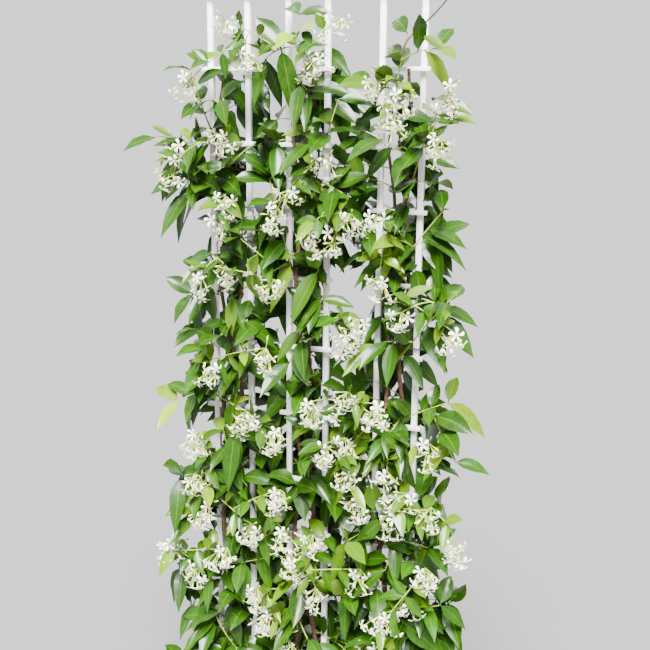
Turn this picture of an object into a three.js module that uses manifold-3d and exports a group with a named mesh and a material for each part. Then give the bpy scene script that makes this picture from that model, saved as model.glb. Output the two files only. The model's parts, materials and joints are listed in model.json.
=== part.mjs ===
// Star jasmine grown up three white ladders in a terracotta trough. Millimetres, +Z up.
// The origin is the middle of the trough's foot. X runs across the ladders and -Y is the front.
import * as THREE from "three";
import { mergeVertices } from "three/addons/utils/BufferGeometryUtils.js";
import Module from "manifold-3d";

// ---- Driving dimensions

// The gap kept between touching pieces.
const seat = 0.3;

const trough = {
  width: 520,
  depth: 260,
  height: 280,
  taper: 16, // each side's lean, foot to rim
  wall: 13,
  floor: 16,
  corner: 34,
  lip: 7, // how far the rim stands out
  rim: 32, // how tall the rim is
  drainRadius: 9,
  drainSpacing: 220,
};
const soil = { top: 256, crown: 12, crownWidth: 410, crownDepth: 180 };
const ladder = {
  centres: { left: -172, middle: -12, right: 170 },
  spacing: 77, // between the middles of the two uprights
  upright: 11,
  foot: 61,
  top: 1765,
  rungHeight: 8,
  rungDepth: 11,
  overhang: 10, // of a rung past an upright
  moduleRungs: 5, // each ladder is made of modules, pushed end to end
  pitch: 138,
  moduleEnd: 58, // from a module's end to its nearest rung
};
// The woody stems: two to a ladder, woven in front of one rung and behind the next.
const vine = {
  apart: 15, // each side of the ladder's middle
  front: -27,
  back: 8,
  foot: 190,
  rootRadius: 5.6,
  tipRadius: 3,
  sides: 5,
  tops: { left: [9, 8], middle: [9, 9], right: [8, 9] }, // the last rung that each stem reaches
};
// Green shoots and flower stalks: steps are the joints of a first stem and of its branches.
const shoot = {
  radius: 1.9,
  tipRadius: 1.3,
  collar: 2.8,
  steps: [4, 3],
  front: -62,
  back: 66,
  spread: 16,
};
const stalk = {
  radius: 1.2,
  tipRadius: 1,
  collar: 2.4,
  steps: [2, 2],
  front: -92,
  spread: 10,
  shortest: 22,
  places: 14, // how many places on the shoots are tried
};
const archSwells = [18, 34, 6, 50, -6, 66];
const archLifts = [10, 30, -12];
const archSways = [0, 16, -16];
const leaf = { length: 76, width: 27, thick: 0.8, fold: 0.28, rise: 0.5, sag: 0.34, room: 4.8, shed: 8 };
// Places on a blade as [share of its length, share of its half width].
const leafOutline = [[0.3, -1], [0.66, -0.88], [1, 0], [0.66, 0.88], [0.3, 1]];
const leafSpots = [
  ...[0.15, 0.3, 0.45, 0.6, 0.75, 0.92].map((along) => [along, 0]),
  ...[0.24, 0.38, 0.52, 0.66, 0.8].flatMap((along) => [[along, -0.66], [along, 0.66]]),
];
const leafSwings = [0, 0.4, -0.4, 0.8, -0.8];
const flower = {
  reach: 23, // from the head's hub to the petals
  radius: 12.5,
  notch: 4.6, // between two petals
  tube: 1.3,
  flare: 3.4, // depth of the throat
  twist: 0.3, // a petal's lean, as in a pinwheel
  open: 0.85, // how far the flowers of a head spread
  heads: [3, 3, 2],
};
const flowerSwings = [0, 0.4, -0.4, 0.8, -0.8, 1.2, -1.2];
const flowersLook = new THREE.Vector3(0, -0.7, -0.71).normalize();
const flowerSpots = [0, 1, 2, 3, 4].map((k) => (k / 5) * Math.PI * 2);

// Where the leafy shoots end, as [x, z] on the ladder's front or back. Each grows from one woody stem
// (0 or 1) at one rung, and its later ends are side shoots of the first.
const leafyShoots = {
  left: [
    { stem: 0, rung: 8, ends: [[-225, 1590], [-160, 1535]] },
    { stem: 1, rung: 7, ends: [[-300, 1465], [-235, 1365], [-90, 1465]] },
    { stem: 0, rung: 6, ends: [[-140, 1390], [-195, 1230], [-80, 1245]] },
    { stem: 0, rung: 4, ends: [[-215, 1090], [-120, 1120], [-260, 945]] },
    { stem: 1, rung: 3, ends: [[-165, 890], [-115, 780], [-225, 705]] },
    { stem: 1, rung: 1, ends: [[-195, 600], [-125, 520], [-215, 445], [-150, 405]] },
    { stem: 1, rung: 6, ends: [[-190, 1440], [-130, 1265]] },
    { stem: 0, rung: 3, ends: [[-195, 900], [-205, 640]] },
  ],
  middle: [
    { stem: 0, rung: 8, ends: [[-5, 1685], [-70, 1610], [10, 1555]] },
    { stem: 1, rung: 7, ends: [[70, 1540], [15, 1465], [90, 1370]] },
    { stem: 0, rung: 6, ends: [[-70, 1390], [45, 1380], [-25, 1235]] },
    { stem: 1, rung: 5, ends: [[45, 1200], [-5, 1110], [-40, 1010]] },
    { stem: 1, rung: 3, ends: [[35, 955], [75, 880], [15, 810]] },
    { stem: 1, rung: 1, ends: [[45, 685], [-35, 585], [90, 565], [-5, 480], [40, 415]] },
    { stem: 1, rung: 6, ends: [[25, 1450], [-40, 1270]] },
    { stem: 0, rung: 3, ends: [[-35, 940], [35, 700]] },
  ],
  right: [
    { stem: 0, rung: 8, ends: [[195, 1650], [250, 1625], [125, 1555]] },
    { stem: 1, rung: 7, ends: [[245, 1515], [125, 1485], [195, 1455]] },
    { stem: 0, rung: 6, ends: [[265, 1350], [195, 1295], [160, 1265]] },
    { stem: 1, rung: 5, ends: [[300, 1210], [230, 1190], [145, 1095]] },
    { stem: 0, rung: 4, ends: [[290, 1005], [305, 890], [170, 900]] },
    { stem: 0, rung: 2, ends: [[240, 810], [170, 750], [255, 700], [175, 645]] },
    { stem: 1, rung: 1, ends: [[285, 590], [145, 530], [210, 450], [255, 410]] },
    { stem: 1, rung: 6, ends: [[190, 1450], [145, 1280]] },
    { stem: 0, rung: 3, ends: [[205, 940], [150, 690]] },
  ],
};

// Where the flower heads are, as [x, z]. The heads of one row share a stalk.
const bloomSprays = {
  left: [
    [[-135, 1675], [-100, 1620], [-210, 1575]],
    [[-155, 1475], [-235, 1455], [-255, 1405]],
    [[-145, 1360], [-160, 1320]],
    [[-145, 1230], [-195, 1205], [-45, 1210]],
    [[-170, 1035], [-65, 1075]],
    [[-105, 945], [-40, 915]],
    [[-190, 810], [-205, 890], [-190, 745]],
    [[-95, 710], [-35, 795], [-25, 715]],
    [[-230, 600], [-275, 650], [-145, 655]],
    [[-90, 570], [-65, 525], [-25, 475]],
  ],
  middle: [
    [[35, 1610], [85, 1675]],
    [[-10, 1380], [50, 1440], [-35, 1345]],
    [[75, 1305], [30, 1305], [105, 1340]],
    [[90, 1120], [125, 1150]],
    [[105, 1010], [35, 985], [160, 990]],
    [[95, 915], [55, 895], [115, 860], [120, 800]],
    [[35, 710], [-5, 655], [45, 600], [130, 650]],
  ],
  right: [
    [[190, 1550], [150, 1570], [185, 1515]],
    [[265, 1475], [280, 1565]],
    [[155, 1340], [160, 1230]],
    [[205, 1170], [305, 1140]],
    [[185, 865], [260, 930]],
    [[225, 825], [195, 780], [270, 805], [315, 745]],
    [[230, 600], [185, 575], [265, 685], [150, 495]],
  ],
};

const finishes = {
  terracotta: { color: 0xb5653f, roughness: 0.85 },
  compost: { color: 0x3b2a1e, roughness: 1 },
  whitePlastic: { color: 0xf2f2f0, roughness: 0.45 },
  bark: { color: 0x6a4a35, roughness: 0.9 },
  foliage: { color: 0x3f7f1f, roughness: 0.4 },
  petals: { color: 0xfbfaf0, roughness: 0.6 },
};

// ---- Solids

const wasm = await Module();
wasm.setup();
const up = new THREE.Vector3(0, 0, 1);

function solidOf(geometry) {
  const bare = geometry.clone();
  bare.deleteAttribute("normal");
  bare.deleteAttribute("uv");
  const merged = mergeVertices(bare, 1e-4);
  const triVerts = new Uint32Array(merged.index.array);
  const vertProperties = merged.attributes.position.array;
  return new wasm.Manifold(new wasm.Mesh({ numProp: 3, vertProperties, triVerts }));
}

function joined(solids) {
  return solids.reduce((whole, next) => whole.add(next));
}

function largestBody(solid) {
  const bodies = solid.decompose();
  return bodies.reduce((most, next) => (next.volume() > most.volume() ? next : most));
}

function meshOf(name, solid, finish) {
  const { numProp, vertProperties, triVerts } = solid.getMesh();
  const positions = new THREE.InterleavedBuffer(vertProperties, numProp);
  const geometry = new THREE.BufferGeometry();
  geometry.setAttribute("position", new THREE.InterleavedBufferAttribute(positions, 3, 0));
  geometry.setIndex(new THREE.BufferAttribute(triVerts, 1));
  const mesh = new THREE.Mesh(geometry, new THREE.MeshStandardMaterial(finishes[finish]));
  mesh.name = name;
  return mesh;
}

function facets(points, triangles) {
  const geometry = new THREE.BufferGeometry().setFromPoints(points);
  geometry.setIndex(triangles);
  return geometry;
}

function boxSolid(low, high) {
  const size = high.clone().sub(low);
  const middle = low.clone().addScaledVector(size, 0.5);
  const geometry = new THREE.BoxGeometry(size.x, size.y, size.z);
  return solidOf(geometry.translate(middle.x, middle.y, middle.z));
}

// A seeded row of numbers between 0 and 1.
function drawsFrom(seed) {
  let state = (seed * 7919 + 104729) % 2147483647;
  return () => {
    state = (state * 48271) % 2147483647;
    return state / 2147483647;
  };
}

// ---- Trough and soil

// A rounded, tapered block as wide as the trough's side plus an offset.
function troughBlock(offset, low, high) {
  const halfAt = (size, z) => size / 2 - trough.lip - trough.taper * (1 - z / trough.height) + offset;
  const halfX = halfAt(trough.width, high);
  const halfY = halfAt(trough.depth, high);
  const radius = trough.corner + offset;
  const outline = new THREE.Shape();
  outline.absarc(halfX - radius, halfY - radius, radius, 0, Math.PI / 2);
  outline.absarc(radius - halfX, halfY - radius, radius, Math.PI / 2, Math.PI);
  outline.absarc(radius - halfX, radius - halfY, radius, Math.PI, Math.PI * 1.5);
  outline.absarc(halfX - radius, radius - halfY, radius, Math.PI * 1.5, Math.PI * 2);
  const settings = { depth: high - low, bevelEnabled: false, curveSegments: 3 };
  const geometry = new THREE.ExtrudeGeometry(outline, settings);
  const position = geometry.attributes.position;
  for (let i = 0; i < position.count; i++) {
    const atFoot = position.getZ(i) < 1;
    const scaleX = atFoot ? halfAt(trough.width, low) / halfX : 1;
    const scaleY = atFoot ? halfAt(trough.depth, low) / halfY : 1;
    const z = position.getZ(i) + low;
    position.setXYZ(i, position.getX(i) * scaleX, position.getY(i) * scaleY, z);
  }
  return solidOf(geometry);
}

function drainHole(x) {
  const hole = new THREE.CylinderGeometry(trough.drainRadius, trough.drainRadius, trough.floor * 3, 8);
  return solidOf(hole.rotateX(Math.PI / 2).translate(x, 0, 0));
}

function troughSolid() {
  const rim = troughBlock(trough.lip, trough.height - trough.rim, trough.height);
  const cavity = troughBlock(-trough.wall, trough.floor, trough.height + 1);
  const drains = [-0.5, 0.5].map((step) => drainHole(step * trough.drainSpacing));
  const body = troughBlock(0, 0, trough.height).add(rim);
  return body.subtract(cavity).subtract(joined(drains));
}

function soilSolid(planted) {
  const crown = new THREE.SphereGeometry(0.5, 10, 6).rotateX(Math.PI / 2);
  crown.scale(soil.crownWidth, soil.crownDepth, soil.crown * 2).translate(0, 0, soil.top);
  const fill = troughBlock(-trough.wall - seat, trough.floor + seat, soil.top);
  return fill.add(solidOf(crown)).subtract(joined(planted));
}

// ---- Ladders

const moduleLength = (ladder.moduleRungs - 1) * ladder.pitch + 2 * ladder.moduleEnd;

function rungLevels() {
  const levels = [];
  for (let foot = ladder.foot; foot < ladder.top; foot += moduleLength) {
    for (let i = 0; i < ladder.moduleRungs; i++) {
      levels.push(foot + ladder.moduleEnd + i * ladder.pitch);
    }
  }
  return levels.filter((z) => z > trough.height && z < ladder.top);
}

const rungs = rungLevels();

// Each ladder's bars as pairs of corners. A margin makes the uprights thicker.
function ladderBars(centre, margin) {
  const half = ladder.upright / 2 + margin;
  const bars = [-0.5, 0.5].map((side) => {
    const x = centre + side * ladder.spacing;
    const low = new THREE.Vector3(x - half, -half, ladder.foot - margin);
    return { low, high: new THREE.Vector3(x + half, half, ladder.top + margin) };
  });
  const reach = ladder.spacing / 2 + ladder.upright / 2 + ladder.overhang;
  for (const z of rungs) {
    const rise = ladder.rungHeight / 2;
    const front = -ladder.upright / 2 - ladder.rungDepth;
    const low = new THREE.Vector3(centre - reach, front, z - rise);
    bars.push({ low, high: new THREE.Vector3(centre + reach, -half, z + rise) });
  }
  return bars;
}

function ladderSolid(centre) {
  return joined(ladderBars(centre, 0).map((bar) => boxSolid(bar.low, bar.high)));
}

function uprightHoles(centre) {
  return ladderBars(centre, seat).slice(0, 2).map((bar) => boxSolid(bar.low, bar.high));
}

// ---- Stems

// A tapering stem through the points, with a few flat sides and closed ends.
function stemSolid(points, radii, sides) {
  const rings = [];
  let side = null;
  points.forEach((point, i) => {
    const ahead = points[Math.min(i + 1, points.length - 1)];
    const behind = points[Math.max(i - 1, 0)];
    const along = ahead.clone().sub(behind).normalize();
    side = (side ?? new THREE.Vector3(0.3, 0.9, 0.1)).clone();
    side.addScaledVector(along, -side.dot(along)).normalize();
    const across = along.clone().cross(side);
    for (let k = 0; k < sides; k++) {
      const turn = (k / sides) * Math.PI * 2;
      const spoke = side.clone().multiplyScalar(Math.cos(turn)).addScaledVector(across, Math.sin(turn));
      rings.push(point.clone().addScaledVector(spoke, radii[i]));
    }
  });
  const triangles = [];
  for (let i = 0; i < points.length - 1; i++) {
    for (let k = 0; k < sides; k++) {
      const a = i * sides + k;
      const b = i * sides + ((k + 1) % sides);
      triangles.push(a, b, b + sides, a, b + sides, a + sides);
    }
  }
  const last = (points.length - 1) * sides;
  for (let k = 1; k < sides - 1; k++) {
    triangles.push(0, k + 1, k);
    triangles.push(last, last + k, last + k + 1);
  }
  return solidOf(facets(rings, triangles));
}

function tapered(from, to, count) {
  return Array.from({ length: count }, (_, i) => from + ((to - from) * i) / (count - 1));
}

// A woody stem's route: out of the soil, then from rung to rung.
function vineRoute(centre, which, lastRung) {
  const x = centre + (which === 0 ? -vine.apart : vine.apart);
  const points = [new THREE.Vector3(x, 0, vine.foot), new THREE.Vector3(x, -4, soil.top + soil.crown + 20)];
  for (let k = 0; k <= lastRung; k++) {
    const sway = 3 * Math.sin(k * 2.1 + which);
    points.push(new THREE.Vector3(x + sway, k % 2 === which ? vine.front : vine.back, rungs[k]));
  }
  return points;
}

// ---- Keeping clear: beads along everything that grows

const beads = [];

function beadsAlong(points, radius, owner, step = 6) {
  for (let i = 0; i < points.length - 1; i++) {
    const count = Math.ceil(points[i].distanceTo(points[i + 1]) / step);
    for (let k = 0; k < count; k++) {
      beads.push({ at: points[i].clone().lerp(points[i + 1], k / count), radius, owner, free: true });
    }
  }
  beads.push({ at: points[points.length - 1], radius, owner, free: true });
}

const bars = Object.values(ladder.centres).flatMap((centre) => ladderBars(centre, 1));

// How deep a trial bead sinks into what is there already. Zero or less is clear.
function depthOf(trial) {
  let depth = trough.height + 8 - trial.at.z;
  for (const bar of bars) {
    const nearest = trial.at.clone().clamp(bar.low, bar.high);
    depth = Math.max(depth, trial.radius - nearest.distanceTo(trial.at));
  }
  for (const bead of beads) {
    const own = bead.owner === trial.owner;
    if (bead.owner === trial.host || (own && !(bead.free && trial.free))) continue;
    const room = own ? 5 : bead.radius + trial.radius;
    if (Math.abs(bead.at.z - trial.at.z) > room) continue;
    depth = Math.max(depth, room - bead.at.distanceTo(trial.at));
  }
  return depth;
}

function deepest(trials) {
  return Math.max(...trials.map(depthOf));
}

// ---- A surface that grows: rings of corners joined by bands, with buds left open for what sprouts

function newSkin() {
  return { points: [], spokes: [], triangles: [], buds: [] };
}

function addPoint(skin, point) {
  return skin.points.push(point) - 1;
}

// Three corners round a stem, counted right-handed round its direction.
function addRing(skin, centre, side, along, radius) {
  const across = along.clone().cross(side);
  return [0, 1, 2].map((k) => {
    const turn = (k / 3) * Math.PI * 2;
    const spoke = side.clone().multiplyScalar(Math.cos(turn)).addScaledVector(across, Math.sin(turn));
    skin.spokes.push(spoke);
    return addPoint(skin, centre.clone().addScaledVector(spoke, radius));
  });
}

// Joins two rings, with the upper one turned to where the band twists least.
function addBand(skin, lower, upper) {
  const twist = (turn) => {
    const far = (k) => skin.points[lower[k]].distanceTo(skin.points[upper[(k + turn) % 3]]);
    return far(0) + far(1) + far(2);
  };
  const turn = [0, 1, 2].reduce((a, b) => (twist(b) < twist(a) ? b : a));
  for (let k = 0; k < 3; k++) {
    const c = upper[(k + 1 + turn) % 3];
    skin.triangles.push(lower[k], lower[(k + 1) % 3], c, lower[k], c, upper[(k + turn) % 3]);
  }
}

// A stem from a ring through the points. Where it carries something it has a short collar with three buds.
function addStem(skin, startRing, points, radii, carries, collar) {
  let ring = startRing;
  let side = new THREE.Vector3(0.3, 0.9, 0.1);
  const joints = [];
  for (let i = 1; i < points.length; i++) {
    const ahead = points[Math.min(i + 1, points.length - 1)];
    const along = ahead.clone().sub(points[i - 1]).normalize();
    side = side.clone().addScaledVector(along, -side.dot(along)).normalize();
    const middle = points[i];
    if (!carries.includes(i)) {
      const next = addRing(skin, middle, side, along, radii[i]);
      addBand(skin, ring, next);
      ring = next;
      continue;
    }
    const lower = addRing(skin, middle.clone().addScaledVector(along, -collar / 2), side, along, radii[i]);
    const upper = addRing(skin, middle.clone().addScaledVector(along, collar / 2), side, along, radii[i]);
    addBand(skin, ring, lower);
    joints[i] = [0, 1, 2].map((k) => {
      const corners = [lower[k], lower[(k + 1) % 3], upper[(k + 1) % 3], upper[k]];
      const centre = skin.points[corners[0]].clone().lerp(skin.points[corners[2]], 0.5);
      const facing = centre.sub(middle).normalize();
      return { corners, facing, along, middle };
    });
    skin.buds.push(...joints[i]);
    ring = upper;
  }
  return { joints, end: ring };
}

// Half of a bud as a ring of three corners. The other half is closed.
function halfBud(skin, bud, flip) {
  const [a, b, c, d] = flip ? [...bud.corners.slice(1), bud.corners[0]] : bud.corners;
  skin.buds = skin.buds.filter((other) => other !== bud);
  skin.triangles.push(a, c, d);
  return [a, b, c];
}

// The open buds of a joint, those that look most nearly in a direction first, each as two halves.
function openHalves(skin, buds, direction) {
  const open = buds.filter((bud) => skin.buds.includes(bud));
  open.sort((a, b) => b.facing.dot(direction) - a.facing.dot(direction));
  return open.flatMap((bud) => [false, true].map((flip) => ({ bud, flip })));
}

const ray = new THREE.Ray();
const struck = new THREE.Vector3();

function pierces(points, from, to, triangle) {
  if (triangle.includes(from) || triangle.includes(to)) return false;
  const [a, b, c] = triangle.map((corner) => points[corner]);
  const span = points[from].distanceTo(points[to]);
  ray.origin.copy(points[from]);
  ray.direction.copy(points[to]).sub(points[from]).divideScalar(span);
  return ray.intersectTriangle(a, b, c, false, struck) !== null && struck.distanceTo(points[from]) < span;
}

function facesOf(skin, triangles, buds) {
  const closed = buds.flatMap(({ corners: [a, b, c, d] }) => [a, b, c, a, c, d]);
  const all = [...triangles, ...closed];
  return Array.from({ length: all.length / 3 }, (_, i) => {
    const corners = all.slice(i * 3, i * 3 + 3);
    return { corners, box: new THREE.Box3().setFromPoints(corners.map((corner) => skin.points[corner])) };
  });
}

// Adds something to a skin only if no triangle of it runs through another. It can be tried without being kept.
function addIfClear(skin, add, kept = true) {
  const { buds } = skin;
  const marks = [skin.points.length, skin.triangles.length, skin.spokes.length];
  add();
  const { points, triangles } = skin;
  const older = facesOf(skin, triangles.slice(0, marks[1]), skin.buds.filter((bud) => buds.includes(bud)));
  const added = facesOf(skin, triangles.slice(marks[1]), skin.buds.filter((bud) => !buds.includes(bud)));
  const crossed = added.some((fresh) => {
    return [...older, ...added].some((other) => {
      if (!other.box.intersectsBox(fresh.box)) return false;
      return [[other.corners, fresh.corners], [fresh.corners, other.corners]].some(([edges, face]) => {
        return edges.some((corner, k) => pierces(points, corner, edges[(k + 1) % 3], face));
      });
    });
  });
  if (!crossed && kept) return true;
  skin.points.length = marks[0];
  skin.triangles.length = marks[1];
  skin.spokes.length = marks[2];
  skin.buds = buds;
  return !crossed;
}

function closedSolid(skin) {
  for (const { corners } of skin.buds) {
    const [a, b, c, d] = corners;
    skin.triangles.push(a, b, c, a, c, d);
  }
  return solidOf(facets(skin.points, skin.triangles));
}

// ---- Shoots

// A stem's points on an arch from start to end that swells by a bulge.
function archPoints(start, end, bulge, steps) {
  const middle = start.clone().lerp(end, 0.5).add(bulge);
  const curve = new THREE.QuadraticBezierCurve3(start, middle, end);
  return Array.from({ length: steps + 1 }, (_, i) => curve.getPoint(i / steps));
}

// The arch that keeps clearest of what has grown already, skipping its first stretch.
function clearArch(start, end, steps, outward, thickness, owner, host, skip) {
  let best = null;
  for (const sway of archSways) {
    for (const swell of archSwells) {
      for (const lift of archLifts) {
        const points = archPoints(start, end, new THREE.Vector3(sway, outward * swell, lift), steps);
        const trials = [];
        for (let i = 0; i < points.length - 1; i++) {
          for (let k = 0; k < 1; k += 0.125) {
            const at = points[i].clone().lerp(points[i + 1], k);
            const far = at.distanceTo(start);
            const ignored = far > skip ? null : host;
            trials.push({ at, radius: thickness + 1.5, owner, host: ignored, free: far > 20 });
          }
        }
        const depth = deepest(trials);
        if (!best || depth < best.depth) best = { depth, points };
        if (depth <= 0) return best;
      }
    }
  }
  return best;
}

// The stems of one plant piece: the first runs to the first end, and each later one branches from a joint
// that is near its own end and carries no other branch.
function growStems(start, ends, steps, outward, thickness, owner, host, skip) {
  const stems = [];
  const grow = (from, at, end, count, bare) => {
    const { points, depth } = clearArch(at, end, count, outward, thickness, owner, host, bare);
    stems.push({ points, depth, from, branches: [] });
    beadsAlong(points, thickness + 0.8, owner);
  };
  grow(null, start, ends[0], steps[0], skip);
  for (const end of ends.slice(1)) {
    let from = null;
    for (const stem of stems) {
      for (let joint = 1; joint < stem.points.length - 1; joint++) {
        if (stem.branches.includes(joint)) continue;
        const reach = stem.points[joint].distanceTo(end);
        if (!from || reach < from.reach) from = { stem, joint, reach };
      }
    }
    from.stem.branches.push(from.joint);
    grow(from, from.stem.points[from.joint], end, steps[1], skip / 2);
  }
  return stems;
}

// Builds the skin of a row of stems, the first from a closed end, the others from its buds.
function skinOf(stems, size, carried) {
  const skin = newSkin();
  const first = stems[0].points;
  const along = first[1].clone().sub(first[0]).normalize();
  const side = new THREE.Vector3(0.3, 0.9, 0.1);
  side.addScaledVector(along, -side.dot(along)).normalize();
  const foot = addRing(skin, first[0], side, along, size.radius);
  skin.triangles.push(foot[0], foot[2], foot[1]);
  for (const stem of stems) {
    const { points, from, branches } = stem;
    const joints = [...carried(points.length - 1), ...branches];
    const radii = tapered(size.radius, size.tipRadius, points.length);
    const grow = (ring) => {
      stem.grown = addStem(skin, ring, points, radii, joints, size.collar);
    };
    if (!from) {
      grow(foot);
      continue;
    }
    const towards = points[1].clone().sub(points[0]).normalize();
    const halves = openHalves(skin, from.stem.grown.joints[from.joint], towards);
    const grown = halves.some(({ bud, flip }) => addIfClear(skin, () => grow(halfBud(skin, bud, flip))));
    if (!grown) grow(halfBud(skin, halves[0].bud, false));
    skin.crossed ||= !grown;
  }
  return skin;
}

function growShoot(entry, centre, name, host) {
  const route = vineRoute(centre, entry.stem, entry.rung);
  const start = route[route.length - 1];
  const outward = entry.rung % 2 === entry.stem ? -1 : 1;
  const draw = drawsFrom(entry.rung * 31 + Math.abs(entry.ends[0][0]) + 1000);
  const ends = entry.ends.map(([x, z]) => {
    const depth = (outward < 0 ? shoot.front : shoot.back) + (draw() - 0.5) * 2 * shoot.spread;
    return new THREE.Vector3(x, depth, z);
  });
  const stems = growStems(start, ends, shoot.steps, outward, shoot.radius, name, host, 16);
  const skin = skinOf(stems, shoot, (last) => [last, last - 1]);
  for (const { grown } of stems) skin.triangles.push(...grown.end);
  return { name, outward, stems, skin, wider: widened(skin, seat * 1.2) };
}

// The same three-sided stems, thicker by a margin on every flat, to cut what grows from them.
function widened(skin, margin) {
  const points = skin.points.map((point, i) => point.clone().addScaledVector(skin.spokes[i], margin * 2));
  return closedSolid({ points, triangles: [...skin.triangles], buds: skin.buds });
}

// ---- Leaves

// One leaf's frame: where it starts, how it runs and sags, and which way its upper face looks.
function leafFrame(bud, swing, light, length) {
  const across = bud.along.clone().cross(bud.facing);
  const spoke = bud.facing.clone().multiplyScalar(Math.cos(swing)).addScaledVector(across, Math.sin(swing));
  const run = spoke.addScaledVector(bud.along, leaf.rise).normalize();
  const chord = run.clone().addScaledVector(up, -leaf.sag).normalize();
  const face = light.clone().addScaledVector(chord, -light.dot(chord)).normalize();
  const left = face.clone().cross(chord);
  const sagAt = (t) => -leaf.sag * length * t * t;
  const midrib = (t) => bud.middle.clone().addScaledVector(run, length * t).addScaledVector(up, sagAt(t));
  return { face, left, midrib, half: (leaf.width / 2) * (length / leaf.length) };
}

// A place on the blade: along the midrib, and out to one side by a share of the half width.
function onLeaf(frame, along, across) {
  const { midrib, left, face, half } = frame;
  const raised = Math.abs(across) * half * leaf.fold;
  return midrib(along).addScaledVector(left, across * half).addScaledVector(face, raised);
}

function leafBeads(frame, owner) {
  return leafSpots.map(([along, across]) => {
    return { at: onLeaf(frame, along, across), radius: leaf.room, owner, free: along > 0.4 };
  });
}

// The blade, pointed and folded up along its midrib, with its foot on the four corners of a bud.
function addLeaf(skin, bud, frame) {
  const { face, left } = frame;
  const foot = [1, -1, -1, 1].map((side, i) => {
    return bud.middle.clone().addScaledVector(left, side).addScaledVector(face, i < 2 ? 0.5 : -0.5);
  });
  const twist = (turn) => {
    const far = (k) => skin.points[bud.corners[(k + turn) % 4]].distanceTo(foot[k]);
    return far(0) + far(1) + far(2) + far(3);
  };
  const turn = [0, 1, 2, 3].reduce((a, b) => (twist(b) < twist(a) ? b : a));
  const corner = (k) => bud.corners[(k + turn) % 4];
  const rim = leafOutline.map(([t, across]) => onLeaf(frame, t, across));
  const lifted = (point) => point.clone().addScaledVector(face, leaf.thick);
  const upper = [corner(0), corner(1), ...rim.map((point) => addPoint(skin, lifted(point)))];
  const lower = [corner(3), corner(2), ...rim.map((point) => addPoint(skin, point))];
  const middle = onLeaf(frame, 0.5, 0);
  const over = addPoint(skin, lifted(middle));
  const under = addPoint(skin, middle);
  skin.buds = skin.buds.filter((other) => other !== bud);
  for (let k = 0; k < upper.length; k++) {
    const next = (k + 1) % upper.length;
    skin.triangles.push(over, upper[k], upper[next]);
    skin.triangles.push(under, lower[next], lower[k]);
    if (k === 0) continue;
    skin.triangles.push(lower[k], lower[next], upper[next], lower[k], upper[next], upper[k]);
  }
}

let leafCount = 0;

// Leaves stand in pairs at each stem's last joints. Each takes the first of a few turns that is clear.
// One in leaf.shed has fallen, which keeps the triangles within their limit. Its room stays empty.
function growLeaves(plant) {
  const foot = plant.stems[0].points[0];
  const draw = drawsFrom(Math.round(foot.z + Math.abs(foot.x) * 3) + 3000);
  for (const { points, grown } of plant.stems) {
    const last = points.length - 1;
    let pairTurn = draw() * Math.PI;
    for (const joint of [last, last - 1]) {
      for (const opposite of [0, Math.PI]) {
        const light = new THREE.Vector3((draw() - 0.5) * 0.9, 0.8 * plant.outward, 0.75).normalize();
        const length = leaf.length * (0.82 + 0.3 * draw());
        const [{ facing, along }] = grown.joints[joint];
        const wanted = facing.clone().applyAxisAngle(along, pairTurn + opposite);
        const [half] = openHalves(plant.skin, grown.joints[joint], wanted);
        if (!half) continue;
        const kept = (leafCount + 1) % leaf.shed > 0;
        const frame = leafSwings.map((swing) => leafFrame(half.bud, swing, light, length)).find((trial) => {
          if (deepest(leafBeads(trial, plant.name)) > 0) return false;
          return addIfClear(plant.skin, () => addLeaf(plant.skin, half.bud, trial), kept);
        });
        if (!frame) continue;
        leafCount += 1;
        beads.push(...leafBeads(frame, plant.name));
      }
      pairTurn += Math.PI / 2;
    }
  }
}

// ---- Flowers

// A spray's stalks, from the nearest clear place on a leafy shoot.
function growSpray(heads, name) {
  const draw = drawsFrom(Math.abs(heads[0][0]) * 3 + heads[0][1] + 5000);
  const hubs = heads.map(([x, z]) => {
    return new THREE.Vector3(x, stalk.front + (draw() - 0.5) * 2 * stalk.spread, z);
  });
  const places = [];
  for (const { name: host, stems, outward } of shoots) {
    if (outward > 0) continue;
    for (const { points, from } of stems) {
      for (let i = from ? 1 : 0; i < points.length - 2; i++) {
        const at = points[i].clone().lerp(points[i + 1], 0.5);
        const reach = at.distanceTo(hubs[0]);
        if (reach > stalk.shortest) places.push({ at, host, reach });
      }
    }
  }
  places.sort((a, b) => a.reach - b.reach);
  const mark = beads.length;
  const growFrom = ({ at, host }) => {
    beads.length = mark;
    const stems = growStems(at, hubs, stalk.steps, -1, stalk.radius, name, host, 10);
    const skin = skinOf(stems, stalk, (last) => [last]);
    const depth = Math.max(...stems.map((stem) => stem.depth)) + (skin.crossed ? 50 : 0);
    return { name, host, depth, hubs, stems, skin };
  };
  const near = places.slice(0, stalk.places);
  const clear = near.find((place) => growFrom(place).depth <= 0);
  return growFrom(clear ?? near.reduce((a, b) => (growFrom(b).depth < growFrom(a).depth ? b : a)));
}

// A flower's frame, from the hub of its head.
function flowerFrame(hub, facing, spin) {
  const side = new THREE.Vector3(0.2, 0.4, 0.9);
  side.addScaledVector(facing, -side.dot(facing)).normalize();
  const across = facing.clone().cross(side);
  const place = (radius, angle, height) => {
    const turn = angle + spin;
    const spoke = side.clone().multiplyScalar(Math.cos(turn)).addScaledVector(across, Math.sin(turn));
    return hub.clone().addScaledVector(spoke, radius).addScaledVector(facing, height);
  };
  return { hub, facing, spin, place, at: place(0, 0, flower.reach) };
}

function flowerBeads({ place }, owner) {
  const open = flowerSpots.map((turn) => {
    return { at: place(flower.radius * 0.68, turn, flower.reach), radius: 4.5 };
  });
  const tube = [0.6, 0.8, 1].map((share) => ({ at: place(0, 0, flower.reach * share), radius: 2.6 }));
  return [...open, ...tube].map((bead) => ({ ...bead, owner, free: true }));
}

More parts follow.
